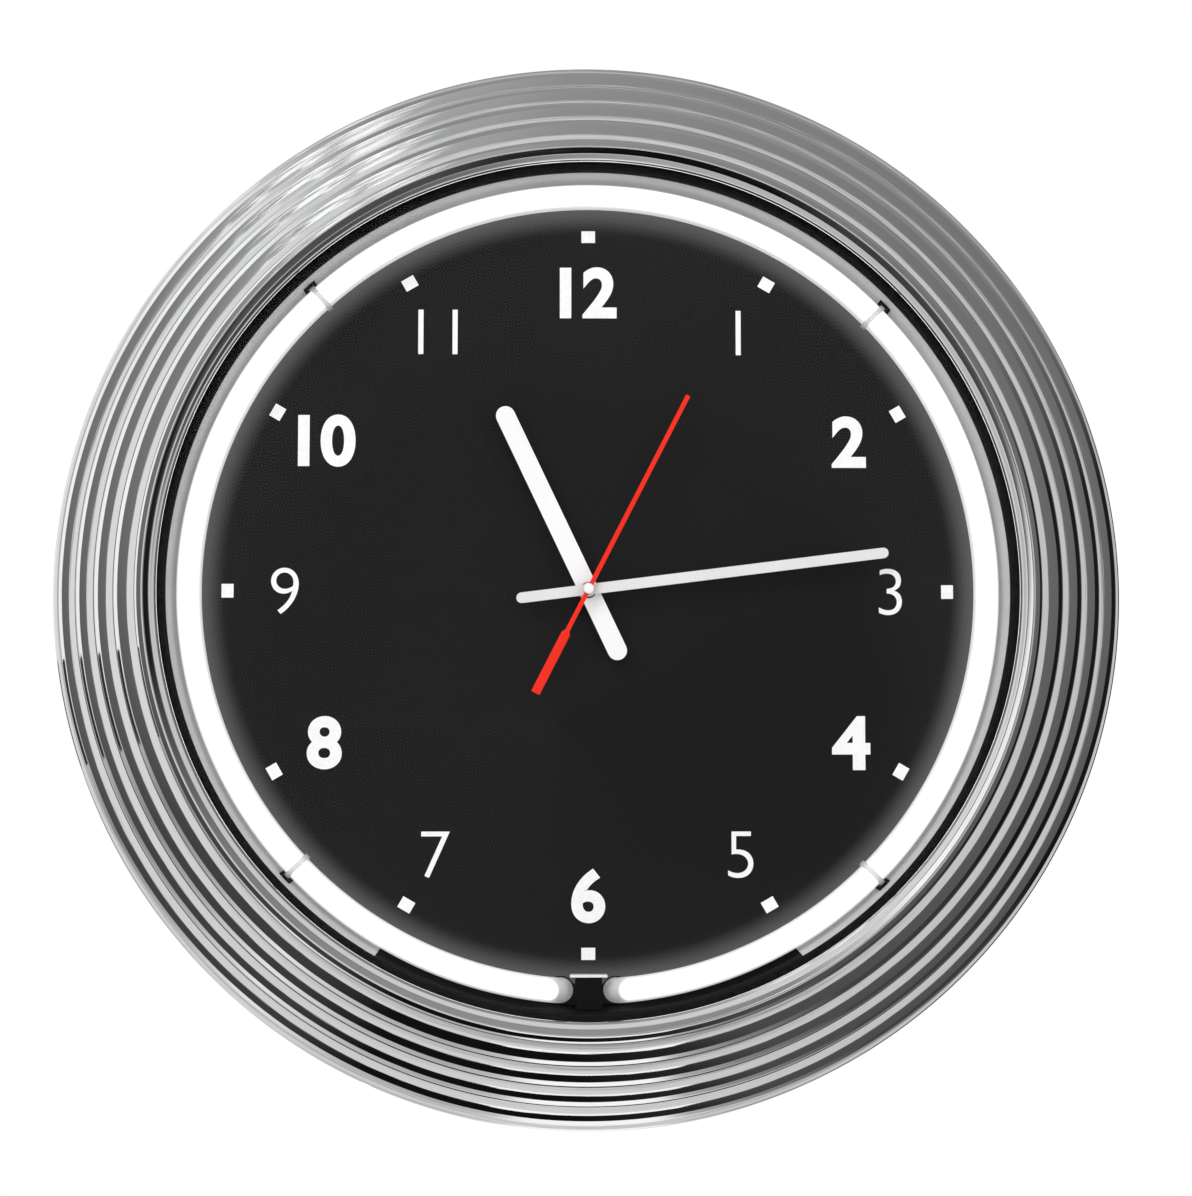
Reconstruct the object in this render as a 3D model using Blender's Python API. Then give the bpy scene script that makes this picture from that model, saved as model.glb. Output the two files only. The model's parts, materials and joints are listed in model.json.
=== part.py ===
"""A round wall clock whose dial is lit by a ring of neon tube, piece by piece, in metres.

Every piece is laid out in the clock's own axes: x to the right, y up, z out of the wall
towards the viewer, with z = 0 on the wall and the hands turning about x = y = 0. One empty
turns those axes upright, so that the clock faces -Y, and sets the origin at the hanging point.
"""

import math

import bmesh
import bpy
from mathutils import Matrix, Vector

TURN = 2 * math.pi

# Room between pieces and inside shapes
GAP = 0.0003
OVERRUN = 0.0020
BITE = 0.0006
MERGE = 0.000001

# Rear pan
PAN_DEPTH = 0.0470
PAN_WALL = 0.0025
PAN_DRAFT = 0.0031
PAN_CORNER = 0.0022
WINDOW_STEP = 0.0035
FLANGE_PLAY = 0.0009

# Chassis plate and dial
CHASSIS_OVERHANG = 0.0039
CHASSIS_PLAY = 0.0006
CHASSIS_THICK = 0.0025
CHASSIS_DROP = 0.0005
MOVEMENT_ROOM = 0.0024
UPSTAND_INSET = 0.0075
UPSTAND_WALL = 0.0030
DIAL_RADIUS = 0.1555
DIAL_THICK = 0.0015
DIAL_RISE = 0.0040

# Pillars that carry the chassis plate, and the pins on them
PILLAR_INSET = 0.0280
PILLAR_RADIUS = 0.0055
PILLAR_PIN_RADIUS = 0.0020
PILLAR_PIN_HEIGHT = 0.0022
PILLARS = 4

# Reflector, gasket and glass
REFLECTOR_FLARE = 0.0053
REFLECTOR_WALL = 0.0010
REFLECTOR_FLANGE_THICK = 0.0013
COVER_HALF_ANGLE = math.radians(30)
GASKET_THICK = 0.0025
GLASS_SEAT = 0.0057
GLASS_THICK = 0.0025

# Chromed ring
RING_WIDTH = 0.0460
LIP_LAP = 0.0031
RIM_OVERHANG = 0.0115
CREST_RISE = 0.0041
RING_WALL = 0.0025
RIB_RISE = 0.0034
RIB_ARC_STEPS = 4
LIP_NOSE = 0.0007
COLLAR_PLAY = 0.0010
COLLAR_WALL = 0.0025
COLLAR_DEPTH = 0.0152
# Each groove between two ribs, as shares of the ring's width and height from lip and rim
RIB_GROOVE_SHARES = (
    (0.944, 0.474),
    (0.770, 0.655),
    (0.610, 0.824),
    (0.437, 0.959),
    (0.243, 1.000),
    (0.077, 0.948),
)
NOTCH_WIDTH = 0.0042
NOTCH_HEIGHT = 0.0090
NOTCH_ANGLE = math.radians(204.3)

# Ring screws and their bosses
SCREW_SETBACK = 0.0109
RING_SCREWS = 4
FIRST_SCREW_ANGLE = math.radians(45)
BOSS_RADIUS = 0.0042
SCREW_RADIUS = 0.0015
SCREW_HEAD_RADIUS = 0.0034
SCREW_HEAD_HEIGHT = 0.0022
SCREW_LENGTH = 0.0140

# Neon tube
TUBE_OUTSET = 0.0026
TUBE_RADIUS = 0.0050
TUBE_LIFT = 0.0035
TUBE_SIDE_ROOM = 0.0033
TUBE_FRONT_ROOM = 0.0018
TUBE_BEND = 0.0090
TUBE_END_SPREAD = 0.0109
TUBE_LEG_REACH = 0.0220
TUBE_ARC_STEPS = 44
TUBE_BEND_STEPS = 4
TUBE_BEVEL_STEPS = 2

# Tube supports and their ties
SUPPORT_ANGLES = tuple(math.radians(a) for a in (46.1, 135.1, 226.3, 317.4))
SUPPORT_WIDTH = 0.0052
SUPPORT_FOOT_THICK = 0.0022
SUPPORT_POST_ROOM = 0.0041
SUPPORT_POST_THICK = 0.0038
SUPPORT_RISE = 0.0019
PRONG_WIDTH = 0.0012
PRONG_HEIGHT = 0.0032
SADDLE_WIDTH = 0.0030
TIE_WIDTH = 0.0022
TIE_THICK = 0.0007
TIE_HALF_ARC = math.radians(118)
TIE_STEPS = 8

# Black cover round the tube ends, and its divider
COVER_SETBACK = 0.0028
COVER_WALL = 0.0012
DIVIDER_ROOM = 0.0007
DIVIDER_HEAD_OVERHANG = 0.0021
DIVIDER_HEAD_REACH = 0.0015
DIVIDER_HEAD_THICK = 0.0010
DIVIDER_STEM_DROP = 0.0010
DIVIDER_RISE = 0.0025

# Electrode boots and high-voltage leads
BOOT_WALL = 0.0016
BOOT_FLOOR = 0.0040
BOOT_HOLLOW = 0.0040
LEAD_RADIUS = 0.0014
LEAD_BEND = 0.0045

# Transformer
TRANSFORMER_WIDTH = 0.0860
TRANSFORMER_HEIGHT = 0.0400
TRANSFORMER_DEPTH = 0.0270
TRANSFORMER_RISE = 0.0180
TRANSFORMER_CORNER = 0.0030
TRANSFORMER_LUG = 0.0090
TRANSFORMER_LUG_THICK = 0.0020
TERMINAL_SIDE = 0.0050
TERMINAL_LENGTH = 0.0040

# Hanging point
HANG_INSET = 0.0486
KEYHOLE_RADIUS = 0.0047
KEYHOLE_SLOT_RADIUS = 0.0023
KEYHOLE_DROP = 0.0120
HANGER_WIDTH = 0.0440
HANGER_HEIGHT = 0.0460
HANGER_THICK = 0.0015
HANGER_LAND = 0.0070
RIVET_RADIUS = 0.0018

# Power inlet and rocker switch in the pan's side wall
INLET_BARREL_RADIUS = 0.0048
INLET_FLANGE_RADIUS = 0.0062
INLET_FLANGE_THICK = 0.0016
INLET_DEPTH = 0.0150
INLET_BORE_RADIUS = 0.0030
INLET_PIN_RADIUS = 0.0010
INLET_FLOOR = 0.0040
TAG_WIDTH = 0.0024
TAG_THICK = 0.0006
TAG_LENGTH = 0.0050
SWITCH_ANGLE = math.radians(155.7)
SWITCH_DROP = 0.0110
SWITCH_LENGTH = 0.0190
SWITCH_WIDTH = 0.0130
SWITCH_BODY_LENGTH = 0.0160
SWITCH_BODY_WIDTH = 0.0105
SWITCH_DEPTH = 0.0120
SWITCH_BEZEL_THICK = 0.0018
SWITCH_FLOOR = 0.0030
ROCKER_LENGTH = 0.0126
ROCKER_WIDTH = 0.0074
ROCKER_PROUD = 0.0008
ROCKER_DISH = 0.0005
ROCKER_TILT = math.radians(12)
ROCKER_AXLE_RADIUS = 0.0011

# Hands and their shafts
HAND_STEP = 0.0026
HUB_RISE = 0.0046
HOUR_TUBE_WALL = 0.00065
MINUTE_TUBE_WALL = 0.0008
SECOND_ARBOR_PLAY = 0.0004
SECOND_ARBOR_RADIUS = 0.0004
HAND_THICK = 0.0008
COLLET_HEIGHT = 0.0008
COLLET_WALL = 0.0009
HOUR_LENGTH = 0.0812
HOUR_TAIL = 0.0305
HOUR_WIDTH = 0.0077
MINUTE_LENGTH = 0.1203
MINUTE_TAIL = 0.0289
MINUTE_WIDTH = 0.0042
SECOND_LENGTH = 0.0870
SECOND_TAIL = 0.0463
SECOND_TAIL_START = 0.0193
SECOND_WIDTH = 0.0018
SECOND_TAIL_WIDTH = 0.0036
HOUR_ANGLE = math.radians(334.6)
MINUTE_ANGLE = math.radians(82.8)
SECOND_ANGLE = math.radians(27.1)
CAP_RADIUS = 0.0025
CAP_HEIGHT = 0.0016

# Movement
CASE_DEPTH = 0.0160
CASE_WALL = 0.0013
CASE_CORNER = 0.0030
BUSHING_WALL = 0.00105
NUT_WALL = 0.0031
NUT_THICK = 0.0022
WASHER_LIP = 0.0008
WASHER_THICK = 0.0006
BATTERY_RADIUS = 0.0070
BATTERY_LENGTH = 0.0500
BATTERY_PLAY = 0.0012
BATTERY_CAP_RADIUS = 0.0026
BATTERY_CAP_LENGTH = 0.0012
BATTERY_EDGE = 0.0006
CONTACT_THICK = 0.0005
CONTACT_WIDTH = 0.0060
PLATE_THICK = 0.0008
POST_HALF = 0.0019
POST_INSET = 0.0033
PIVOT_BOSS_RADIUS = 0.00135

# Wheels: teeth and modules
TOOTH_ADDENDUM_SHARE = 0.80
TOOTH_DEDENDUM_SHARE = 1.15
TOOTH_ROOT_SHARE = 0.50
TOOTH_TIP_SHARE = 0.20
DRIVE_MODULE = 0.00038
THIRD_MODULE = 0.00035
MOTION_MODULE = 0.00050
ROTOR_TEETH = 6
INTERMEDIATE_TEETH = 36
INTERMEDIATE_LEAVES = 8
SECOND_TEETH = 40
SECOND_LEAVES = 6
THIRD_TEETH = 45
THIRD_LEAVES = 6
CENTRE_TEETH = 48
CANNON_LEAVES = 10
MOTION_TEETH = 30
MOTION_LEAVES = 8
HOUR_TEETH = 32
KNOB_LEAVES = 10
WHEEL_THICK = 0.0008
PINION_OVERLAP = 0.0004
WHEEL_STEP = 0.0020
ARBOR_RADIUS = 0.00045
PIVOT_PLAY = 0.00012
THIRD_DIRECTION = math.radians(10)
INTERMEDIATE_DIRECTION = math.radians(150)
ROTOR_DIRECTION = math.radians(130)
MOTION_DIRECTION = math.radians(180)
KNOB_DIRECTION = math.radians(180)
MAGNET_RADIUS = 0.0030
MAGNET_HEIGHT = 0.0018
KNOB_RADIUS = 0.0058
KNOB_HEIGHT = 0.0036
KNOB_SHAFT_RADIUS = 0.0015
KNOB_RIDGES = 12
KNOB_VALLEY_SHARE = 0.90

# Coil, stator and circuit board
STATOR_THICK = 0.0010
STATOR_LEG = 0.0032
STATOR_LOBE = 0.0018
LOBE_STEPS = 6
COIL_RADIUS = 0.0032
COIL_FLANGE_RADIUS = 0.0040
COIL_FLANGE_THICK = 0.0008
COIL_ROOM = 0.0010
COIL_CORE_THICK = 0.0010
BOARD_THICK = 0.0008
BOARD_HEIGHT = 0.0105
BOARD_WIDTH = 0.0205
CHIP_RADIUS = 0.0034
CHIP_HEIGHT = 0.0010

# Facets round each kind of curve
LARGE_STEPS = 48
MEDIUM_STEPS = 36
SMALL_STEPS = 12
TINY_STEPS = 8
LEAD_BEVEL_STEPS = 1
ROUTE_STEPS = 3

# Shafts, one inside the other, and the movement round them
minute_tube_bore = SECOND_ARBOR_RADIUS + SECOND_ARBOR_PLAY
minute_tube_radius = minute_tube_bore + MINUTE_TUBE_WALL
hour_tube_bore = minute_tube_radius + GAP
hour_tube_radius = hour_tube_bore + HOUR_TUBE_WALL
bushing_radius = hour_tube_radius + GAP + BUSHING_WALL
nut_radius = bushing_radius + NUT_WALL
washer_radius = nut_radius + WASHER_LIP
case_side = BATTERY_LENGTH + (BATTERY_PLAY + CONTACT_THICK + CASE_WALL) * 2
coil_y = case_side / 2 - CASE_WALL - CONTACT_THICK - COIL_FLANGE_RADIUS - COIL_ROOM

# Radii on the clock's face, from the middle outwards
chassis_hole_radius = case_side * math.sqrt(0.5) + MOVEMENT_ROOM
window_radius = chassis_hole_radius + WINDOW_STEP
upstand_radius = DIAL_RADIUS - UPSTAND_INSET
pillar_circle = upstand_radius - PILLAR_INSET
tube_circle = DIAL_RADIUS + TUBE_OUTSET
tube_outer_radius = tube_circle + TUBE_RADIUS
divider_head_radius = tube_circle - TUBE_RADIUS - DIVIDER_HEAD_REACH
support_foot_inner = DIAL_RADIUS + GAP * 2
support_post_inner = tube_outer_radius + SUPPORT_POST_ROOM
support_post_outer = support_post_inner + SUPPORT_POST_THICK
reflector_top_radius = tube_outer_radius + TUBE_SIDE_ROOM
reflector_foot_radius = reflector_top_radius - REFLECTOR_FLARE
cover_inner_radius = reflector_foot_radius + COVER_SETBACK
glass_radius = reflector_top_radius + GLASS_SEAT
collar_radius = glass_radius + COLLAR_PLAY
chassis_radius = glass_radius + CHASSIS_OVERHANG
pan_radius = chassis_radius + CHASSIS_PLAY
screw_circle = pan_radius + PAN_WALL + SCREW_SETBACK
lip_radius = glass_radius - LIP_LAP
rim_radius = lip_radius + RING_WIDTH

# Places up and down the clock, and widths beside the tube's ends
hang_drop = pan_radius - HANG_INSET
transformer_centre_y = TRANSFORMER_RISE - pillar_circle
divider_half = TUBE_END_SPREAD - TUBE_RADIUS - DIVIDER_ROOM
divider_head_half = divider_half + DIVIDER_HEAD_OVERHANG

# Places along the clock's depth, from the wall outwards
chassis_front = PAN_DEPTH - CHASSIS_DROP
chassis_back = chassis_front - CHASSIS_THICK
pillar_top = chassis_back - GAP
tube_leg_end = chassis_back - TUBE_LEG_REACH
boot_back = tube_leg_end - BOOT_HOLLOW - BOOT_FLOOR
flange_back = PAN_DEPTH - PAN_WALL
dial_back = chassis_front + DIAL_RISE
dial_front = dial_back + DIAL_THICK
tube_height = dial_front + TUBE_LIFT + TUBE_RADIUS
divider_top = tube_height + DIVIDER_RISE
reflector_foot = chassis_front + GAP
reflector_top = tube_height + TUBE_RADIUS + TUBE_FRONT_ROOM
gasket_back = reflector_top + GAP
glass_back = gasket_back + GASKET_THICK + GAP
lip_back = glass_back + GLASS_THICK + GAP
rim_back = flange_back - RIM_OVERHANG
ring_height = lip_back + CREST_RISE - rim_back
inlet_height = rim_back + NOTCH_HEIGHT / 2
switch_height = rim_back - SWITCH_DROP
case_front = dial_back - GAP
case_back = case_front - CASE_DEPTH
bushing_top = dial_front + HUB_RISE - GAP
hour_hand_back = dial_front + HUB_RISE + COLLET_HEIGHT
minute_hand_back = hour_hand_back + HAND_STEP
second_hand_back = minute_hand_back + HAND_STEP

# The clock's axes, turned upright with the hanging point at the origin
clock_axes = None


def material(name, colour, roughness, metallic=0.0, transmission=0.0, glow=0.0):
    """A plain Principled material for one piece."""
    made = bpy.data.materials.new(name)
    made.use_nodes = True
    shader = made.node_tree.nodes["Principled BSDF"]
    shader.inputs["Base Color"].default_value = (*colour, 1.0)
    shader.inputs["Roughness"].default_value = roughness
    shader.inputs["Metallic"].default_value = metallic
    shader.inputs["Transmission Weight"].default_value = transmission
    shader.inputs["Emission Color"].default_value = (*colour, 1.0)
    shader.inputs["Emission Strength"].default_value = glow
    return made


def chrome(name):
    return material(name, (0.78, 0.79, 0.80), 0.08, metallic=1.0)


def steel(name):
    return material(name, (0.62, 0.62, 0.63), 0.35, metallic=1.0)


def brass(name):
    return material(name, (0.78, 0.60, 0.28), 0.30, metallic=1.0)


def black_plastic(name):
    return material(name, (0.012, 0.012, 0.013), 0.45)


def black_rubber(name):
    return material(name, (0.015, 0.015, 0.015), 0.70)


def white_plastic(name):
    return material(name, (0.86, 0.86, 0.84), 0.45)


def clear_glass(name):
    return material(name, (1, 1, 1), 0.0, transmission=1.0)


def spot(radius, angle):
    """The point at this radius, with the angle clockwise from 12 o'clock."""
    return Vector((radius * math.sin(angle), radius * math.cos(angle), 0))


def circle(radius, steps, centre=(0, 0), start=0.0):
    """Points anticlockwise round a circle."""
    angles = [start + TURN * k / steps for k in range(steps)]
    return [
        (centre[0] + radius * math.cos(a), centre[1] + radius * math.sin(a))
        for a in angles
    ]


def rounded(x0, y0, x1, y1, corner, steps=3):
    """Points anticlockwise round a rectangle with round corners."""
    points = []
    centres = (
        (x1 - corner, y0 + corner, -TURN / 4),
        (x1 - corner, y1 - corner, 0),
        (x0 + corner, y1 - corner, TURN / 4),
        (x0 + corner, y0 + corner, TURN / 2),
    )
    for cx, cy, start in centres:
        for k in range(steps + 1):
            a = start + TURN / 4 * k / steps
            points.append((cx + corner * math.cos(a), cy + corner * math.sin(a)))
    return points


def square(x0, y0, x1, y1):
    return [(x0, y0), (x1, y0), (x1, y1), (x0, y1)]


def gathered(*pieces):
    """One bmesh of several closed shapes, each kept apart."""
    whole = bmesh.new()
    for piece in pieces:
        loose = bpy.data.meshes.new("loose")
        piece.to_mesh(loose)
        piece.free()
        whole.from_mesh(loose)
        bpy.data.meshes.remove(loose)
    return whole


def moved(shape, matrix):
    bmesh.ops.transform(shape, matrix=matrix, verts=shape.verts)
    return shape


def turned(profile, steps, sweep=TURN, start=0.0):
    """A profile of (radius, z) points spun about z. A part turn gets flat ends."""
    shape = bmesh.new()
    points = [shape.verts.new((r, 0, z)) for r, z in profile]
    on_axis = profile[0][0] == 0 and profile[-1][0] == 0
    pairs = zip(points, points[1:] if on_axis else points[1:] + points[:1])
    edges = [shape.edges.new(pair) for pair in pairs]
    whole = sweep == TURN
    bmesh.ops.rotate(
        shape, verts=points, cent=(0, 0, 0), matrix=Matrix.Rotation(start, 3, "Z")
    )
    if not whole:
        bmesh.ops.contextual_create(shape, geom=edges)
    outline = edges if whole else edges + list(shape.faces)
    bmesh.ops.spin(
        shape,
        geom=points + outline,
        cent=(0, 0, 0),
        axis=(0, 0, 1),
        angle=sweep,
        steps=steps,
        use_merge=whole,
        use_duplicate=False,
    )
    bmesh.ops.remove_doubles(shape, verts=shape.verts, dist=MERGE)
    if not whole:
        close_start(shape)
    bmesh.ops.recalc_face_normals(shape, faces=shape.faces)
    return shape


def close_start(shape):
    """Closes the open end that a part turn leaves."""
    open_edges = [edge for edge in shape.edges if len(edge.link_faces) == 1]
    if open_edges:
        bmesh.ops.contextual_create(shape, geom=open_edges)


def rod(radius, low, high, steps, centre=(0, 0)):
    shape = turned([(0, low), (radius, low), (radius, high), (0, high)], steps)
    return moved(shape, Matrix.Translation((centre[0], centre[1], 0)))


def sleeve(bore, radius, low, high, steps, centre=(0, 0)):
    profile = [(bore, low), (radius, low), (radius, high), (bore, high)]
    shape = turned(profile, steps)
    return moved(shape, Matrix.Translation((centre[0], centre[1], 0)))


def plate(outline, low, high, holes=()):
    """A flat plate with holes, from outlines of (x, y) points."""
    shape = bmesh.new()
    edges = []
    for loop in (outline, *holes):
        points = [shape.verts.new((x, y, low)) for x, y in loop]
        pairs = zip(points, points[1:] + points[:1])
        edges += [shape.edges.new(pair) for pair in pairs]
    bmesh.ops.triangle_fill(shape, edges=edges, use_beauty=True, normal=(0, 0, 1))
    made = bmesh.ops.extrude_face_region(shape, geom=list(shape.faces))
    raised = [item for item in made["geom"] if isinstance(item, bmesh.types.BMVert)]
    bmesh.ops.translate(shape, verts=raised, vec=(0, 0, high - low))
    bmesh.ops.recalc_face_normals(shape, faces=shape.faces)
    return shape


def block(x0, y0, z0, x1, y1, z1):
    return plate(square(x0, y0, x1, y1), z0, z1)


def piece(name, shape, finish, place=None):
    """A named object for one solid, placed in the clock's axes."""
    mesh = bpy.data.meshes.new(name)
    shape.to_mesh(mesh)
    shape.free()
    mesh.materials.append(finish(name))
    mesh.shade_smooth()
    mesh.set_sharp_from_angle(angle=math.radians(35))
    made = bpy.data.objects.new(name, mesh)
    bpy.context.scene.collection.objects.link(made)
    made.parent = clock_axes
    made.matrix_local = place or Matrix()
    return made


def worked(target, operation, shape):
    """Joins a shape to the target, or cuts it away."""
    tool = piece(f"{target.name}_{operation.lower()}", shape, steel)
    tool.parent = target
    tool.hide_render = True
    tool.display_type = "WIRE"
    change = target.modifiers.new(operation.lower(), "BOOLEAN")
    change.operation = operation
    change.object = tool
    return target


def join(target, *shapes):
    for shape in shapes:
        worked(target, "UNION", shape)
    return target


def cut(target, *shapes):
    return worked(target, "DIFFERENCE", gathered(*shapes))


def outward(angle, radius=0.0, height=0.0):
    """A place on the clock whose x axis points away from the centre and z out of the wall."""
    place = spot(radius, angle) + Vector((0, 0, height))
    return Matrix.Translation(place) @ Matrix.Rotation(TURN / 4 - angle, 4, "Z")


def clear_scene():
    for old in list(bpy.data.objects):
        bpy.data.objects.remove(old)


def set_axes():
    """The empty that carries every piece."""
    global clock_axes
    clock_axes = bpy.data.objects.new("clock_axes", None)
    bpy.context.scene.collection.objects.link(clock_axes)
    clock_axes.rotation_euler = (TURN / 4, 0, 0)
    clock_axes.location = (0, 0, -hang_drop)


def groove(index):
    """The groove's place (radius, height) on the ring's face."""
    across, up = RIB_GROOVE_SHARES[index]
    return Vector((lip_radius + across * RING_WIDTH, rim_back + up * ring_height))


def rib(start, end):
    """Points over one rib, from one groove up to the next, without the first."""
    middle = (start + end) / 2
    half = (end - start).length / 2
    along = (end - start).normalized()
    up = Vector((-along.y, along.x))
    if up.y < 0:
        up = -up
    points = []
    for k in range(1, RIB_ARC_STEPS + 1):
        share = -math.cos(math.pi * k / RIB_ARC_STEPS)
        rise = RIB_RISE * math.sqrt(max(0.0, 1 - share * share))
        points.append(middle + along * (half * share) + up * rise)
    return points


def ring_inside(index):
    """The shell's inner face behind a groove."""
    here = groove(index)
    along = (groove(index + 1) - groove(index - 1)) if index else (groove(1) - here)
    inward = Vector((along.y, -along.x)).normalized()
    if inward.y > 0:
        inward = -inward
    return here + inward * RING_WALL


def ring_inner_radius():
    """The radius inside the ring where the pan's flange lies."""
    low, high = ring_inside(0), ring_inside(1)
    share = max(0.0, (PAN_DEPTH - low.y) / (high.y - low.y))
    return low.x + (high.x - low.x) * share


def screw_spots(count, radius, first):
    return [spot(radius, first + TURN * k / count) for k in range(count)]


def ring_profile():
    count = len(RIB_GROOVE_SHARES)
    face = [Vector((rim_radius, rim_back)), groove(0)]
    for index in range(count - 1):
        face += rib(groove(index), groove(index + 1))
    nose = [
        Vector((lip_radius + LIP_NOSE, lip_back + CREST_RISE / 4 + LIP_NOSE)),
        Vector((lip_radius, lip_back + LIP_NOSE)),
        Vector((lip_radius + LIP_NOSE / 2, lip_back)),
    ]
    collar_outer = collar_radius + COLLAR_WALL
    collar_end = lip_back - COLLAR_DEPTH
    collar = [
        Vector((collar_radius, lip_back)),
        Vector((collar_radius, collar_end)),
        Vector((collar_outer, collar_end)),
        Vector((collar_outer, lip_back)),
    ]
    inside = [ring_inside(index) for index in range(count - 2, -1, -1)]
    return face + nose + collar + inside + [Vector((rim_radius - RING_WALL, rim_back))]


def make_ring():
    ring = piece("chrome_ring", turned(ring_profile(), LARGE_STEPS), chrome)
    boss_end = PAN_DEPTH + GAP
    boss_top = rim_back + ring_height - RING_WALL / 2
    spots = screw_spots(RING_SCREWS, screw_circle, FIRST_SCREW_ANGLE)
    bosses = [rod(BOSS_RADIUS, boss_end, boss_top, SMALL_STEPS, s) for s in spots]
    join(ring, gathered(*bosses))
    bore = SCREW_RADIUS + GAP
    bores = [
        rod(bore, boss_end - OVERRUN, boss_end + SCREW_LENGTH, TINY_STEPS, s)
        for s in spots
    ]
    half = NOTCH_WIDTH / 2
    notch = block(
        -NOTCH_HEIGHT, -half, -OVERRUN, NOTCH_HEIGHT, half, NOTCH_HEIGHT
    )
    notch = moved(notch, outward(NOTCH_ANGLE, rim_radius, rim_back))
    cut(ring, *bores, notch)


def make_grommet():
    """The black filling of the notch, with a bore for the supply lead."""
    half = NOTCH_WIDTH / 2 - GAP
    inner = ring_inside(0).x - rim_radius - GAP
    tall = NOTCH_HEIGHT - GAP
    slope = groove(0) - Vector((rim_radius, rim_back))
    lean = slope.x / slope.y * tall
    section = [(inner, 0), (0, 0), (lean, tall), (inner + lean, tall)]
    upright = Matrix.Rotation(TURN / 4, 4, "X")
    grommet = moved(plate(section, -half, half), upright)
    place = outward(NOTCH_ANGLE, rim_radius - GAP, rim_back)
    made = piece("notch_grommet", grommet, black_rubber, place)
    bore = half - BITE
    tunnel = rod(bore, -NOTCH_HEIGHT, NOTCH_HEIGHT, TINY_STEPS)
    tunnel = moved(tunnel, Matrix.Rotation(TURN / 4, 4, "Y"))
    cut(made, moved(tunnel, Matrix.Translation((0, 0, tall / 2))))


def make_glass_and_gasket():
    glass = rod(glass_radius, glass_back, glass_back + GLASS_THICK, LARGE_STEPS)
    piece("front_glass", glass, clear_glass)
    top = gasket_back + GASKET_THICK
    ring = sleeve(reflector_top_radius, glass_radius, gasket_back, top, MEDIUM_STEPS)
    piece("glass_gasket", ring, black_rubber)


def reflector_section(foot, top):
    """The section of the wall round the tube, with the flange that carries the gasket."""
    under = reflector_top - REFLECTOR_FLANGE_THICK
    return [
        (foot, reflector_foot),
        (top, reflector_top),
        (glass_radius, reflector_top),
        (glass_radius, under),
        (top + REFLECTOR_WALL, under),
        (foot + REFLECTOR_WALL, reflector_foot),
    ]


def make_reflector():
    """Round the dial but for the stretch behind 6 o'clock that the black cover takes."""
    play = GAP / glass_radius
    start = -TURN / 4 + COVER_HALF_ANGLE + play
    sweep = TURN - 2 * (COVER_HALF_ANGLE + play)
    section = reflector_section(reflector_foot_radius, reflector_top_radius)
    steps = round(MEDIUM_STEPS * sweep / TURN)
    wall = turned(section, steps, sweep, start)
    wall = piece("reflector_wall", wall, white_plastic)
    half = SUPPORT_WIDTH / 2 + GAP
    under = support_top() + GAP
    slots = []
    for angle in SUPPORT_ANGLES:
        slot = block(
            support_foot_inner,
            -half,
            reflector_foot - OVERRUN,
            glass_radius + OVERRUN,
            half,
            under,
        )
        slots.append(moved(slot, outward(angle)))
    cut(wall, *slots)


def support_top():
    """The posts' height, a little in front of the tube's middle."""
    return tube_height + SUPPORT_RISE


def make_cover():
    """Black arc round the tube ends, with the divider that stands between them."""
    start = -TURN / 4 - COVER_HALF_ANGLE
    section = reflector_section(cover_inner_radius, reflector_top_radius)
    steps = round(MEDIUM_STEPS * 2 * COVER_HALF_ANGLE / TURN)
    arc = turned(section, steps, 2 * COVER_HALF_ANGLE, start)
    cover = piece("electrode_cover", arc, black_plastic)
    low = reflector_foot
    stem_inner = DIAL_RADIUS + GAP
    reach = cover_inner_radius + COVER_WALL
    half, head = divider_half, divider_head_half
    stem_top = divider_top - DIVIDER_STEM_DROP
    stem = block(-half, -reach, low, half, -stem_inner, stem_top)
    floor = dial_front + GAP
    head_back = divider_head_radius + DIVIDER_HEAD_THICK
    bridge = block(-half, -stem_inner - BITE, floor, half, -head_back + BITE, stem_top)
    crown = block(-head, -head_back, floor, head, -divider_head_radius, divider_top)
    join(cover, stem, bridge, crown)


def make_chassis():
    upstand_top = dial_back - GAP
    hole, wall = chassis_hole_radius, UPSTAND_WALL
    profile = [
        (hole, chassis_back),
        (chassis_radius, chassis_back),
        (chassis_radius, chassis_front),
        (upstand_radius + wall, chassis_front),
        (upstand_radius + wall, upstand_top),
        (upstand_radius, upstand_top),
        (upstand_radius, chassis_front),
        (hole + wall, chassis_front),
        (hole + wall, upstand_top),
        (hole, upstand_top),
    ]
    chassis = piece("chassis_plate", turned(profile, MEDIUM_STEPS), black_plastic)
    low, high = chassis_back - OVERRUN, chassis_front + OVERRUN
    holes = [
        rod(PILLAR_PIN_RADIUS + GAP, low, high, TINY_STEPS, s) for s in pillar_spots()
    ]
    holes += [rod(TUBE_RADIUS + GAP, low, high, SMALL_STEPS, s) for s in tube_ends()]
    cut(chassis, *holes)


def pillar_spots():
    return screw_spots(PILLARS, pillar_circle, FIRST_SCREW_ANGLE)


def tube_bend_angle():
    """How far from 6 o'clock the tube leaves its circle to bend back."""
    return math.asin(TUBE_END_SPREAD / tube_circle) + TUBE_BEND / tube_circle


def tube_ends():
    """Where the tube's two legs stand, left then right."""
    ends = []
    for side in (-1, 1):
        angle = TURN / 2 - side * tube_bend_angle()
        along = Vector((math.cos(angle), -math.sin(angle), 0)) * side
        ends.append(spot(tube_circle, angle) + along * TUBE_BEND)
    return ends


def make_dial():
    bore = bushing_radius + GAP
    face = sleeve(bore, DIAL_RADIUS, dial_back, dial_front, MEDIUM_STEPS)
    made = piece("dial_plate", face, dial_black)
    low, high = dial_back - OVERRUN, dial_front + OVERRUN
    notch = TUBE_RADIUS + GAP * 2
    cut(made, *[rod(notch, low, high, SMALL_STEPS, end) for end in tube_ends()])


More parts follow.
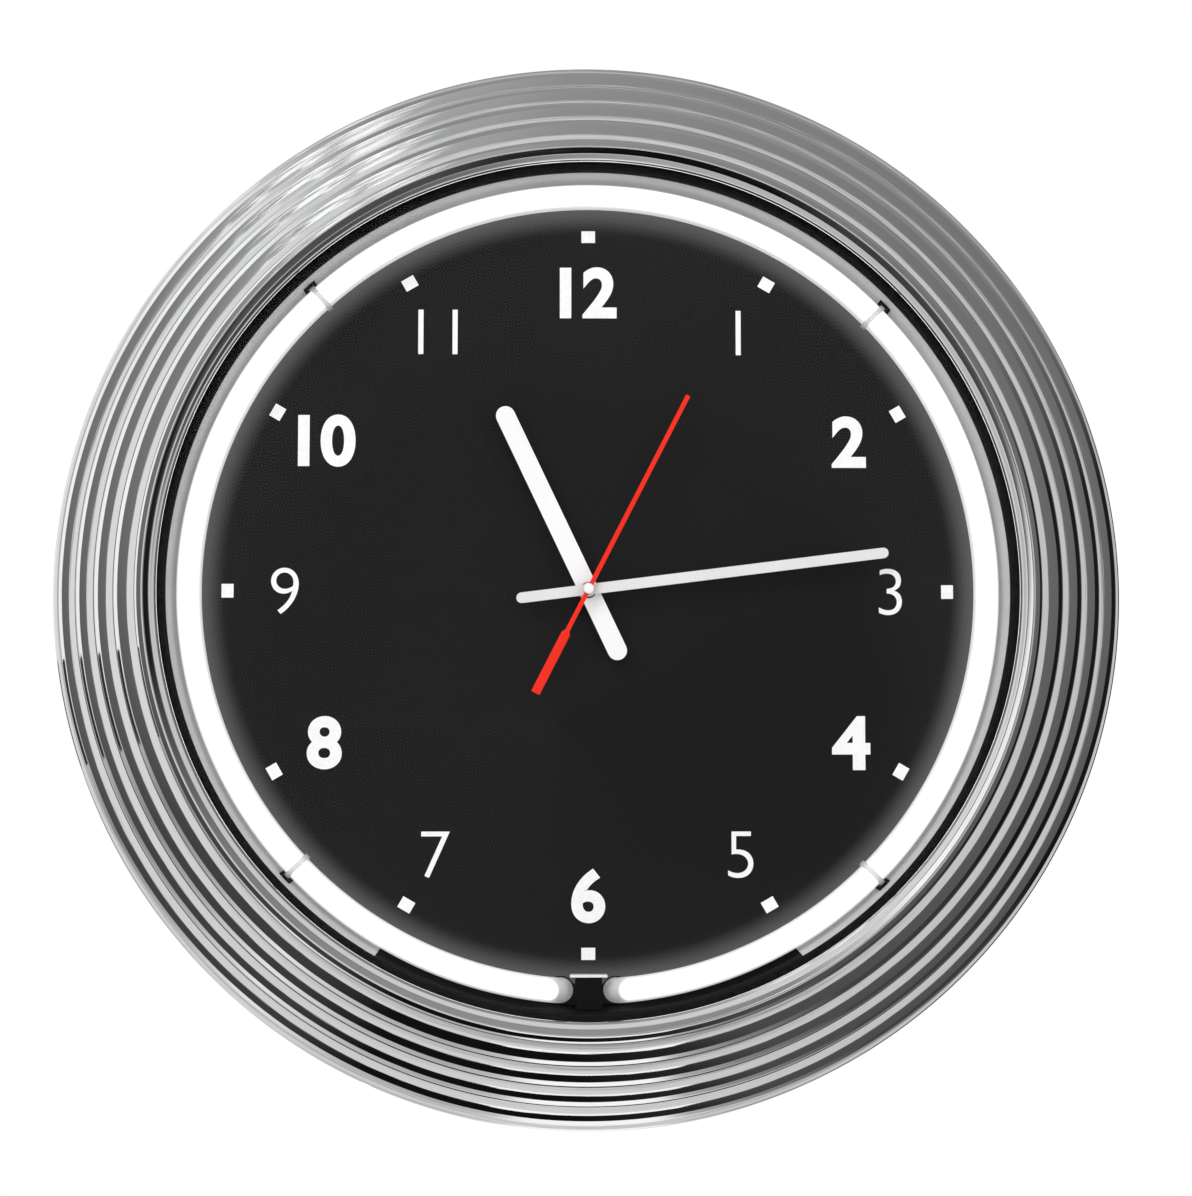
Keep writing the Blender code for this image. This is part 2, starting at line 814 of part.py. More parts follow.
def dial_black(name):
    return material(name, (0.017, 0.017, 0.017), 0.55)


def tube_route():
    """The middle of the tube: up one leg, round the dial and down the other."""
    legs = []
    for side, end in zip((-1, 1), tube_ends()):
        angle = TURN / 2 - side * tube_bend_angle()
        corner = spot(tube_circle, angle)
        along = end - corner
        leg = [end + Vector((0, 0, tube_leg_end))]
        for k in range(TUBE_BEND_STEPS + 1):
            a = TURN / 4 * k / TUBE_BEND_STEPS
            rise = tube_height - TUBE_BEND + TUBE_BEND * math.sin(a)
            leg.append(corner + along * math.cos(a) + Vector((0, 0, rise)))
        legs.append(leg)
    first = TURN / 2 + tube_bend_angle()
    sweep = TURN - 2 * tube_bend_angle()
    arc = []
    for k in range(1, TUBE_ARC_STEPS):
        angle = first + sweep * k / TUBE_ARC_STEPS
        arc.append(spot(tube_circle, angle) + Vector((0, 0, tube_height)))
    return legs[0] + arc + legs[1][::-1]


def pipe(name, route, radius, finish, bevel_steps):
    """A round rod along a route, as a curve with filled ends."""
    curve = bpy.data.curves.new(name, "CURVE")
    curve.dimensions = "3D"
    curve.bevel_depth = radius
    curve.bevel_resolution = bevel_steps
    curve.use_fill_caps = True
    curve.materials.append(finish(name))
    spline = curve.splines.new("POLY")
    spline.points.add(len(route) - 1)
    for point, place in zip(spline.points, route):
        point.co = (*place, 1)
    made = bpy.data.objects.new(name, curve)
    bpy.context.scene.collection.objects.link(made)
    made.parent = clock_axes
    return made


def make_tube():
    glass = lambda n: material(n, (1, 0.98, 0.95), 0.2, glow=1.0)
    pipe("neon_tube", tube_route(), TUBE_RADIUS, glass, TUBE_BEVEL_STEPS)


def make_boots():
    """Rubber cups on the tube's legs, behind the chassis plate."""
    bore = TUBE_RADIUS + GAP
    radius = bore + BOOT_WALL
    hole = LEAD_RADIUS + GAP
    floor = boot_back + BOOT_FLOOR
    top = chassis_back - GAP
    profile = [
        (hole, boot_back),
        (radius, boot_back),
        (radius, top),
        (bore, top),
        (bore, floor),
        (hole, floor),
    ]
    for side, end in zip(("left", "right"), tube_ends()):
        place = Matrix.Translation(end)
        cup = turned(profile, SMALL_STEPS)
        piece(f"electrode_boot_{side}", cup, black_rubber, place)


def smooth_route(points):
    """A smooth curve through the points, with its first and last stretch straight."""
    route = [points[0]]
    for a, b, c, d in zip(points, points[1:], points[2:], points[3:]):
        for k in range(ROUTE_STEPS):
            t = k / ROUTE_STEPS
            bend = (c - a) * t + (a * 2 - b * 5 + c * 4 - d) * t**2
            route.append(b + (bend + (b * 3 - a - c * 3 + d) * t**3) / 2)
    return route + points[-2:]


def transformer_edges():
    """Its sides: left, bottom, right, top, back and front."""
    half_w, half_h = TRANSFORMER_WIDTH / 2, TRANSFORMER_HEIGHT / 2
    back = PAN_WALL + GAP
    low, high = transformer_centre_y - half_h, transformer_centre_y + half_h
    return -half_w, low, half_w, high, back, back + TRANSFORMER_DEPTH


def terminal_spot(side):
    """Where a high-voltage lead leaves the transformer's lower side."""
    low = transformer_edges()[1]
    back, front = transformer_edges()[4:]
    middle = (back + front) / 2
    return Vector((side * TRANSFORMER_WIDTH / 4, low - TERMINAL_LENGTH, middle))


def make_transformer():
    left, low, right, high, back, front = transformer_edges()
    outline = rounded(left, low, right, high, TRANSFORMER_CORNER)
    box = piece("transformer_case", plate(outline, back, front), black_plastic)
    lug = TRANSFORMER_LUG
    lug_top = back + TRANSFORMER_LUG_THICK
    centre = transformer_centre_y
    holes = [
        circle(SCREW_RADIUS + GAP, TINY_STEPS, (side * (right + lug / 2), centre))
        for side in (-1, 1)
    ]
    strip = square(left - lug, centre - lug / 2, right + lug, centre + lug / 2)
    join(box, plate(strip, back, lug_top, holes))
    half = TERMINAL_SIDE / 2
    for side in (-1, 1):
        end = terminal_spot(side)
        stub = block(
            end.x - half, end.y, end.z - half, end.x + half, low + BITE, end.z + half
        )
        join(box, stub)
    for side in (-1, 1):
        place = Matrix.Translation((side * (right + lug / 2), centre, lug_top + GAP))
        name = "transformer_screw_right" if side > 0 else "transformer_screw_left"
        piece(name, screw(lug_floor_depth(lug_top)), steel, place)


def lug_floor_depth(lug_top):
    """How far a lug screw reaches: through the lug and into its boss on the pan."""
    return lug_top - PAN_WALL / 2


def screw(reach):
    """A screw with its head on +z and its shank down to -reach."""
    head, shank = SCREW_HEAD_RADIUS, SCREW_RADIUS
    tall = SCREW_HEAD_HEIGHT
    outline = [
        (0, -reach),
        (shank, -reach),
        (shank, 0),
        (head, 0),
        (head, tall * 2 / 3),
        (head * 2 / 3, tall),
        (0, tall),
    ]
    return turned(outline, TINY_STEPS)


def lead(name, route):
    pipe(name, smooth_route(route), LEAD_RADIUS, black_rubber, LEAD_BEVEL_STEPS)


def make_leads():
    """High-voltage leads from the transformer to the boots."""
    bend = LEAD_BEND
    low = (PAN_WALL + boot_back) / 2
    for side, end, name in zip((-1, 1), tube_ends(), ("left", "right")):
        start = terminal_spot(side) - Vector((0, GAP, 0))
        route = [
            start,
            start - Vector((0, bend, 0)),
            Vector((end.x + side * bend, end.y + bend, low)),
            Vector((end.x, end.y, (low + boot_back) / 2)),
            Vector((end.x, end.y, boot_back + BOOT_FLOOR / 2)),
        ]
        lead(f"hv_lead_{name}", route)


def pan_outer_radius(height):
    """The pan's side wall, outside, at a height above the wall."""
    draft = PAN_DRAFT * (1 - height / PAN_DEPTH)
    return pan_radius + PAN_WALL - draft


def make_pan():
    corner = PAN_CORNER
    window = window_radius
    outer_back = pan_outer_radius(0)
    flange = ring_inner_radius() - FLANGE_PLAY
    profile = [
        (window, 0),
        (outer_back - corner, 0),
        (outer_back, corner),
        (pan_outer_radius(flange_back), flange_back),
        (flange, flange_back),
        (flange, PAN_DEPTH),
        (pan_radius, PAN_DEPTH),
        (outer_back - PAN_WALL, PAN_WALL),
        (window + PAN_WALL, PAN_WALL),
        (window + PAN_WALL, pillar_top),
        (window, pillar_top),
    ]
    pan = piece("rear_pan", turned(profile, MEDIUM_STEPS), black_plastic)
    low = PAN_WALL - BITE
    posts = []
    for s in pillar_spots():
        outline = [
            (0, low),
            (PILLAR_RADIUS, low),
            (PILLAR_RADIUS, pillar_top),
            (PILLAR_PIN_RADIUS, pillar_top),
            (PILLAR_PIN_RADIUS, pillar_top + PILLAR_PIN_HEIGHT),
            (0, pillar_top + PILLAR_PIN_HEIGHT),
        ]
        posts.append(moved(turned(outline, TINY_STEPS), Matrix.Translation(s)))
    join(pan, gathered(*posts))
    cut(pan, *pan_holes())


def pan_holes():
    hole = SCREW_RADIUS + GAP
    spots = screw_spots(RING_SCREWS, screw_circle, FIRST_SCREW_ANGLE)
    low, high = flange_back - OVERRUN, PAN_DEPTH + OVERRUN
    holes = [rod(hole, low, high, TINY_STEPS, s) for s in spots]
    right = TRANSFORMER_WIDTH / 2 + TRANSFORMER_LUG / 2
    for side in (-1, 1):
        place = (side * right, transformer_centre_y)
        holes.append(rod(hole, -OVERRUN, PAN_WALL + OVERRUN, TINY_STEPS, place))
    half_w = HANGER_WIDTH / 2 - HANGER_LAND
    half_h = HANGER_HEIGHT / 2 - HANGER_LAND
    middle = hanger_middle()
    opening = rounded(
        -half_w, middle - half_h, half_w, middle + half_h, HANGER_LAND / 2, 2
    )
    holes.append(plate(opening, -OVERRUN, PAN_WALL + OVERRUN))
    clearance = RIVET_RADIUS + GAP
    for s in rivet_spots():
        holes.append(rod(clearance, -OVERRUN, PAN_WALL + OVERRUN, TINY_STEPS, s))
    reach = PAN_WALL * 2 + PAN_DRAFT
    bore = rod(INLET_BARREL_RADIUS + GAP, -reach, reach, SMALL_STEPS)
    bore = moved(bore, Matrix.Rotation(TURN / 4, 4, "Y"))
    holes.append(moved(bore, outward(NOTCH_ANGLE, pan_radius, inlet_height)))
    long, wide = SWITCH_BODY_LENGTH / 2 + GAP, SWITCH_BODY_WIDTH / 2 + GAP
    slot = block(-reach, -long, -wide, reach, long, wide)
    holes.append(moved(slot, outward(SWITCH_ANGLE, pan_radius, switch_height)))
    return holes


def hanger_middle():
    return hang_drop - KEYHOLE_DROP / 2


def rivet_spots():
    x = HANGER_WIDTH / 2 - HANGER_LAND / 2
    y = HANGER_HEIGHT / 2 - HANGER_LAND / 2
    return [
        (side * x, hanger_middle() + up * y) for side in (-1, 1) for up in (-1, 1)
    ]


def make_hanger():
    """Steel plate with a keyhole, riveted inside the pan's back."""
    low = PAN_WALL + GAP
    half_w, half_h = HANGER_WIDTH / 2, HANGER_HEIGHT / 2
    middle = hanger_middle()
    outline = rounded(-half_w, middle - half_h, half_w, middle + half_h, HANGER_LAND / 2, 2)
    slot, entry = KEYHOLE_SLOT_RADIUS, KEYHOLE_RADIUS
    neck = math.asin(slot / entry)
    entry_y = hang_drop - KEYHOLE_DROP
    steps = SMALL_STEPS
    keyhole = []
    for k in range(steps + 1):
        a = TURN / 4 + neck + (TURN - 2 * neck) * k / steps
        keyhole.append((entry * math.cos(a), entry_y + entry * math.sin(a)))
    for k in range(TINY_STEPS + 1):
        a = TURN / 2 * k / TINY_STEPS
        keyhole.append((slot * math.cos(a), hang_drop + slot * math.sin(a)))
    sheet = plate(outline, low, low + HANGER_THICK, [keyhole])
    hanger = piece("hanger_plate", sheet, steel)
    rivets = [rod(RIVET_RADIUS, GAP, low + BITE, TINY_STEPS, s) for s in rivet_spots()]
    join(hanger, gathered(*rivets))


def make_ring_screws():
    reach = SCREW_LENGTH
    for number, s in enumerate(
        screw_spots(RING_SCREWS, screw_circle, FIRST_SCREW_ANGLE), 1
    ):
        face_back = Matrix.Rotation(TURN / 2, 4, "X")
        place = Matrix.Translation(s + Vector((0, 0, flange_back - GAP))) @ face_back
        piece(f"ring_screw_{number}", screw(reach), steel, place)


def make_inlet():
    """Round low-voltage socket, facing out through the pan's side wall."""
    place = outward(NOTCH_ANGLE, pan_outer_radius(inlet_height) + GAP, inlet_height)
    thick, deep = INLET_FLANGE_THICK, INLET_DEPTH
    floor = thick - deep + INLET_FLOOR
    profile = [
        (0, -deep),
        (INLET_BARREL_RADIUS, -deep),
        (INLET_BARREL_RADIUS, 0),
        (INLET_FLANGE_RADIUS, 0),
        (INLET_FLANGE_RADIUS, thick),
        (INLET_BORE_RADIUS, thick),
        (INLET_BORE_RADIUS, floor),
        (INLET_PIN_RADIUS, floor),
        (INLET_PIN_RADIUS, -thick),
        (0, -thick),
    ]
    to_x = Matrix.Rotation(TURN / 4, 4, "Y")
    socket = moved(turned(profile, SMALL_STEPS), to_x)
    inlet = piece("power_inlet", socket, black_plastic, place)
    half, thin = TAG_WIDTH / 2, TAG_THICK / 2
    for side in (-1, 1):
        middle = side * INLET_BARREL_RADIUS / 2
        tag = block(
            -deep - TAG_LENGTH, middle - half, -thin, -deep + BITE, middle + half, thin
        )
        join(inlet, tag)


def tag_tip(angle, radius, height, depth, sideways):
    """The free end of a tag, in the clock's axes."""
    place = outward(angle, radius, height)
    return place @ Vector((-depth - TAG_LENGTH - GAP, sideways, 0))


def make_switch():
    """Rocker switch in the pan's side wall, below on the right as seen from the front."""
    place = outward(SWITCH_ANGLE, switch_face(), switch_height)
    long, wide = SWITCH_LENGTH / 2, SWITCH_WIDTH / 2
    body_long, body_wide = SWITCH_BODY_LENGTH / 2, SWITCH_BODY_WIDTH / 2
    thick, deep = SWITCH_BEZEL_THICK, SWITCH_DEPTH
    bezel = block(0, -long, -wide, thick, long, wide)
    switch = piece("switch_body", bezel, black_plastic, place)
    join(switch, block(-deep, -body_long, -body_wide, BITE, body_long, body_wide))
    open_long, open_wide = ROCKER_LENGTH / 2 + GAP * 2, ROCKER_WIDTH / 2 + GAP
    floor = -deep + SWITCH_FLOOR
    well = block(floor, -open_long, -open_wide, thick + OVERRUN, open_long, open_wide)
    seat_half = axle_half() + GAP
    cut(switch, well)
    cut(switch, rod(ROCKER_AXLE_RADIUS + GAP, -seat_half, seat_half, TINY_STEPS))
    half, thin = TAG_WIDTH / 2, TAG_THICK / 2
    for side in (-1, 1):
        low = side * SWITCH_BODY_LENGTH / 4 - half
        end = -deep - TAG_LENGTH
        join(switch, block(end, low, -thin, -deep + BITE, low + TAG_WIDTH, thin))
    make_rocker(place)


def switch_face():
    """How far out the switch's bezel sits, clear of the wall's curve."""
    return pan_outer_radius(switch_height + SWITCH_WIDTH / 2) + GAP


def axle_half():
    return ROCKER_WIDTH / 2 + BITE


def make_rocker(place):
    """The rocker, pressed in at its upper end. Its ends lie on one arc about the axle."""
    reach, wide = ROCKER_LENGTH / 2, ROCKER_WIDTH / 2
    top = SWITCH_BEZEL_THICK + ROCKER_PROUD
    shoulder = math.sqrt(reach**2 - top**2)
    low = ROCKER_AXLE_RADIUS * 2
    outline = [
        (-low, -reach / 2),
        (-low, reach / 2),
        (0, reach),
        (top, shoulder),
        (top - ROCKER_DISH, 0),
        (top, -shoulder),
        (0, -reach),
    ]
    body = moved(plate(outline, -wide, wide), Matrix.Rotation(ROCKER_TILT, 4, "Z"))
    rocker = piece("switch_rocker", body, black_plastic, place)
    axle = rod(ROCKER_AXLE_RADIUS, -axle_half(), axle_half(), TINY_STEPS)
    join(rocker, axle)


def make_supply_leads():
    """Inlet to switch, switch to transformer, and the return."""
    inlet_radius = pan_outer_radius(inlet_height) + GAP
    side = INLET_BARREL_RADIUS / 2
    inlet = [
        tag_tip(NOTCH_ANGLE, inlet_radius, inlet_height, INLET_DEPTH, s)
        for s in (-side, side)
    ]
    across = SWITCH_BODY_LENGTH / 4
    switch = [
        tag_tip(SWITCH_ANGLE, switch_face(), switch_height, SWITCH_DEPTH, s)
        for s in (-across, across)
    ]
    left, low, right, high, back, front = transformer_edges()
    bend = LEAD_BEND
    rise = (front + chassis_back) / 2
    over = high - bend * 2
    from_inlet, to_switch = spot(bend, NOTCH_ANGLE), spot(bend, SWITCH_ANGLE)
    switched = Vector((right / 2, high + GAP, back + bend))
    returned = Vector((left / 2, high + GAP, back + bend))
    up = Vector((0, bend, 0))
    aside = Vector((bend, bend * 2, 0))
    routes = {
        "supply_lead_feed": [
            inlet[0],
            inlet[0] - from_inlet,
            Vector((left - bend * 2, over, rise)),
            Vector((right + bend * 2, over, rise)),
            switch[0] - to_switch,
            switch[0],
        ],
        "supply_lead_switched": [
            switch[1],
            switch[1] - to_switch,
            Vector((right + bend * 3, high + bend, back + bend)),
            switched + aside,
            switched + up,
            switched,
        ],
        "supply_lead_return": [
            inlet[1],
            inlet[1] - from_inlet,
            Vector((left - bend * 3, high, back + bend * 2)),
            returned + Vector((-bend, bend * 2, 0)),
            returned + up,
            returned,
        ],
    }
    for name, route in routes.items():
        lead(name, route)


def make_supports():
    """Forked black posts that hold the tube, each with a clear tie round it."""
    foot_low = reflector_foot
    foot_top = foot_low + SUPPORT_FOOT_THICK
    saddle_top = tube_height - TUBE_RADIUS - GAP
    half = SUPPORT_WIDTH / 2
    top = support_top()
    tip = tube_circle + TUBE_RADIUS + GAP
    for number, angle in enumerate(SUPPORT_ANGLES, 1):
        place = outward(angle)
        outer = support_post_outer
        foot = block(support_foot_inner, -half, foot_low, outer, half, foot_top)
        post = block(support_post_inner, -half, foot_low, outer, half, top)
        start = tube_circle - SADDLE_WIDTH / 2
        saddle = block(start, -half, foot_low, start + SADDLE_WIDTH, half, saddle_top)
        support = piece(f"tube_support_{number}", foot, black_plastic, place)
        join(support, post, saddle)
        for side in (-1, 1):
            root, point = side * half, side * (half - PRONG_WIDTH)
            outline = [
                (support_post_inner + BITE, root),
                (tip, point + side * PRONG_WIDTH / 3),
                (tip, point),
                (support_post_inner + BITE, root / 3),
            ]
            join(support, plate(outline, top - PRONG_HEIGHT, top - BITE))
        make_tie(number, place)


def make_tie(number, place):
    """A clear strap bent over the front of the tube, open behind it."""
    inner = TUBE_RADIUS + GAP * 2
    outer = inner + TIE_THICK
    points = []
    for radius, way in ((inner, 1), (outer, -1)):
        for k in range(TIE_STEPS + 1):
            a = TURN / 4 + way * (2 * k / TIE_STEPS - 1) * TIE_HALF_ARC
            points.append((radius * math.cos(a), radius * math.sin(a)))
    strap = plate(points, -TIE_WIDTH / 2, TIE_WIDTH / 2)
    strap = moved(strap, Matrix.Rotation(TURN / 4, 4, "X"))
    at_tube = place @ Matrix.Translation((tube_circle, 0, tube_height))
    clear = lambda n: material(n, (0.9, 0.9, 0.9), 0.2, transmission=0.6)
    piece(f"tube_tie_{number}", strap, clear, at_tube)


def tooth_points(teeth, module, phase):
    """The outline of a toothed wheel, four points to a tooth."""
    middle = teeth * module / 2
    root = middle - TOOTH_DEDENDUM_SHARE * module
    tip = middle + TOOTH_ADDENDUM_SHARE * module
    pitch = TURN / teeth
    wide, narrow = TOOTH_ROOT_SHARE * pitch / 2, TOOTH_TIP_SHARE * pitch / 2
    points = []
    for tooth in range(teeth):
        a = phase + tooth * pitch
        for radius, off in ((root, -wide), (tip, -narrow), (tip, narrow), (root, wide)):
            points.append((radius * math.cos(a + off), radius * math.sin(a + off)))
    return points


def mesh_phase(teeth, place, mate_teeth, mate_place, mate_phase):
    """The phase that sets a wheel's teeth in the gaps of its mate's."""
    line = place - mate_place
    direction = math.atan2(line.y, line.x)
    share = (direction - mate_phase) * mate_teeth / TURN
    return direction + TURN / 2 - (0.5 - share) * TURN / teeth


def wheel_distance(one, other, module):
    return (one + other) * module / 2


def polar(radius, direction):
    return Vector((radius * math.cos(direction), radius * math.sin(direction), 0))


def at(place):
    return Matrix.Translation((place.x, place.y, 0))


def make_movement():
    """The battery movement: its case, drive, wheels, shafts and setting knob."""
    inside_front = case_front - CASE_WALL
    inside_back = case_back + CASE_WALL
    half = case_side / 2
    make_case(half, inside_front)
    spots = wheel_spots()
    planes = wheel_planes(inside_front)
    make_case_back(half, inside_back, spots)
    make_middle_plate(half, planes, spots)
    make_battery(half, inside_front)
    make_drive(half, planes, spots)
    make_train(planes, spots, inside_back)
    make_motion_work(planes, spots, inside_front)
    make_shaft_fixings()


def wheel_spots():
    centre = Vector((0, 0, 0))
    third = polar(wheel_distance(SECOND_LEAVES, THIRD_TEETH, THIRD_MODULE), THIRD_DIRECTION)
    drive = wheel_distance(INTERMEDIATE_LEAVES, SECOND_TEETH, DRIVE_MODULE)
    intermediate = polar(drive, INTERMEDIATE_DIRECTION)
    reach = wheel_distance(ROTOR_TEETH, INTERMEDIATE_TEETH, DRIVE_MODULE)
    rotor = intermediate + polar(reach, ROTOR_DIRECTION)
    motion_reach = wheel_distance(CANNON_LEAVES, MOTION_TEETH, MOTION_MODULE)
    motion = polar(motion_reach, MOTION_DIRECTION)
    knob = motion + polar(motion_reach, KNOB_DIRECTION)
    return {
        "centre": centre,
        "third": third,
        "intermediate": intermediate,
        "rotor": rotor,
        "motion": motion,
        "knob": knob,
    }


def wheel_planes(inside_front):
    """The back face of each wheel, from the front of the movement backwards."""
    hour = inside_front - CASE_WALL / 2 - WHEEL_THICK
    motion = hour - WHEEL_STEP
    middle = motion - WHEEL_THICK - PLATE_THICK
    centre = middle - WHEEL_THICK * 2
    second = centre - WHEEL_STEP - PINION_OVERLAP
    third = second - WHEEL_STEP
    return {
        "hour": hour,
        "motion": motion,
        "middle": middle,
        "centre": centre,
        "second": second,
        "third": third,
    }


def bay_top():
    """The upper edge of the battery's bay, below the wheels."""
    return -case_side / 2 + CASE_WALL * 2 + (BATTERY_RADIUS + GAP * 2) * 2


def battery_y():
    return -case_side / 2 + CASE_WALL + BATTERY_RADIUS + GAP * 2


def make_case(half, inside_front):
    low = case_back + CASE_WALL + GAP
    body = plate(rounded(-half, -half, half, half, CASE_CORNER), low, case_front)
    case = piece("movement_case", body, black_plastic)
    wall = CASE_WALL
    side = half - wall
    back = low - OVERRUN
    bay = block(-side, -side, back, side, bay_top() - wall, inside_front)
    room = block(-side, bay_top(), back, side, side, inside_front)
    passage = contact_passage(half, low)
    join(case, rod(bushing_radius, case_front - BITE, bushing_top, SMALL_STEPS))
    cut(case, bay, room)
    cut(case, *passage)
    join(case, *plate_posts(half, inside_front))
    pin = rod(
        motion_pin_radius(),
        wheel_planes(inside_front)["motion"] - GAP,
        inside_front + BITE,
        TINY_STEPS,
        wheel_spots()["motion"],
    )
    join(case, pin)
    bore = hour_tube_radius + GAP
    cut(case, rod(bore, inside_front - OVERRUN, bushing_top + OVERRUN, SMALL_STEPS))


def motion_pin_radius():
    leaf_root = MOTION_LEAVES * MOTION_MODULE / 2 - TOOTH_DEDENDUM_SHARE * MOTION_MODULE
    return leaf_root - CASE_WALL / 4 - PIVOT_PLAY


def contact_passage(half, low):
    """Openings in the bay's wall for the two contact strips."""
    outer = half - CASE_WALL
    inner = outer - CONTACT_THICK - GAP * 2
    bottom, top = bay_top() - CASE_WALL - OVERRUN, bay_top() + OVERRUN
    depth = contact_low() + CONTACT_WIDTH + GAP
    return [
        block(x0, bottom, low - OVERRUN, x1, top, depth)
        for x0, x1 in ((-outer, -inner), (inner, outer))
    ]


def contact_low():
    return case_back + CASE_WALL * 2


def plate_posts(half, inside_front):
    """Four posts inside the case that the middle plate rests against."""
    reach = wheel_planes(inside_front)["middle"] + PLATE_THICK + GAP
    post = POST_HALF
    spots = post_spots(half)
    return [
        block(x - post, y - post, reach, x + post, y + post, inside_front + BITE)
        for x, y in spots
    ]


def post_spots(half):
    inset = POST_INSET
    top = plate_top()
    return [
        (side * (half - inset), y)
        for side in (-1, 1)
        for y in (bay_top() + inset, top - inset)
    ]


def plate_top():
    """The middle plate's upper edge, clear of the coil."""
    return coil_y - COIL_FLANGE_RADIUS - GAP * 2


def make_middle_plate(half, planes, spots):
    low = planes["middle"]
    edge = half - CASE_WALL - GAP * 2
    outline = square(-edge, bay_top() + GAP, edge, plate_top())
    pivot = ARBOR_RADIUS + PIVOT_PLAY
    holes = [
        circle(minute_tube_radius + GAP, SMALL_STEPS, spots["centre"]),
        circle(KNOB_SHAFT_RADIUS + GAP, SMALL_STEPS, spots["knob"]),
    ]
    holes += [circle(pivot, TINY_STEPS, spots[n]) for n in ("third", "intermediate", "rotor")]
    piece("middle_plate", plate(outline, low, low + PLATE_THICK, holes), white_plastic)


def make_case_back(half, inside_back, spots):
    """Cover over the wheels, with the pivots' bosses and a hole for the setting knob."""
    inner = bay_top() - CASE_WALL
    outline = rounded(-half, inner, half, half, CASE_CORNER)
    knob = circle(KNOB_SHAFT_RADIUS + GAP, SMALL_STEPS, spots["knob"])
    sheet = plate(outline, case_back, inside_back, [knob])
    cover = piece("movement_back", sheet, black_plastic)
    top = inside_back + boss_height()
    bore = ARBOR_RADIUS + PIVOT_PLAY
    bosses, pivots = [], []
    for name in ("centre", "third", "intermediate", "rotor"):
        s = spots[name]
        bosses.append(rod(PIVOT_BOSS_RADIUS, inside_back - BITE, top, TINY_STEPS, s))
        pivots.append(rod(bore, inside_back, top + OVERRUN, TINY_STEPS, s))
    join(cover, gathered(*bosses))
    cut(cover, *pivots)


def boss_height():
    return CASE_WALL / 2


def make_battery(half, inside_front):
    """A round cell lying across the bay, with a contact at each end."""
    centre_z = inside_front - GAP * 2 - BATTERY_RADIUS
    edge = BATTERY_EDGE
    end = BATTERY_LENGTH / 2
    button = end - BATTERY_CAP_LENGTH
    profile = [
        (0, -end),
        (BATTERY_RADIUS - edge, -end),
        (BATTERY_RADIUS, -end + edge),
        (BATTERY_RADIUS, button - edge),
        (BATTERY_RADIUS - edge, button),
        (BATTERY_CAP_RADIUS, button),
        (BATTERY_CAP_RADIUS, end),
        (0, end),
    ]
    cell = moved(turned(profile, SMALL_STEPS), Matrix.Rotation(TURN / 4, 4, "Y"))
    place = Matrix.Translation((0, battery_y(), centre_z))
    jacket = lambda n: material(n, (0.10, 0.22, 0.12), 0.35, metallic=0.6)
    piece("battery", cell, jacket, place)
    make_contacts(half)


def make_contacts(half):
    """Bent strips: across each end of the cell, then up to the circuit board."""
    thin = CONTACT_THICK
    low = contact_low()
    wall = half - CASE_WALL - GAP
    bottom = battery_y() - CONTACT_WIDTH / 2
    board_left, board_top = board_edges()[0], board_edges()[3]
    bend = CASE_WALL
    plus = [
        (wall - thin, bottom),
        (wall, bottom),
        (wall, board_top - bend),
        (wall - thin, board_top - bend),
    ]
    piece("battery_contact_plus", plate(plus, low, low + CONTACT_WIDTH), steel)
    minus = [
        (-wall, bottom),
        (-wall + thin, bottom),
        (-wall + thin, wall - thin),
        (board_left + bend * 2, wall - thin),
        (board_left + bend * 2, wall),
        (-wall, wall),
    ]
    piece("battery_contact_minus", plate(minus, low, low + CONTACT_WIDTH), steel)


def board_edges():
    """The circuit board's sides: left, bottom, right and top."""
    edge = case_side / 2 - CASE_WALL - CONTACT_THICK - GAP * 2
    return edge - BOARD_WIDTH, edge - BOARD_HEIGHT, edge, edge


def make_drive(half, planes, spots):
    """Coil on its core, stator round the rotor, and the circuit board."""
    rotor = spots["rotor"]
    low = planes["second"]
    high = low + STATOR_THICK
    bore = MAGNET_RADIUS + GAP * 2
    lobe = bore + STATOR_LOBE
    leg = STATOR_LEG
    left = -half + CASE_WALL + CONTACT_THICK + GAP * 3
    right = rotor.x * 2 - left
    foot = rotor.y - leg / 2
    top = coil_y + leg / 2
    outline = [
        (left, foot),
        *lobe_points(rotor, lobe, leg, TURN / 2),
        (right, foot),
        (right, top),
        (right - leg, top),
        (right - leg, rotor.y + leg / 2),
        *lobe_points(rotor, lobe, leg, 0),
        (left + leg, rotor.y + leg / 2),
        (left + leg, top),
        (left, top),
    ]
    hole = circle(bore, SMALL_STEPS, rotor)
    piece("stator", plate(outline, low, high, [hole]), steel)
    make_coil(left, right, high)
    make_board()


def lobe_points(centre, radius, leg, start):
    """Half of the stator's eye, from one side of its legs to the other."""
    join_angle = math.asin(leg / 2 / radius)
    sweep = TURN / 2 - 2 * join_angle
    points = []
    for k in range(LOBE_STEPS + 1):
        a = start + join_angle + sweep * k / LOBE_STEPS
        points.append((centre.x + radius * math.cos(a), centre.y + radius * math.sin(a)))
    return points


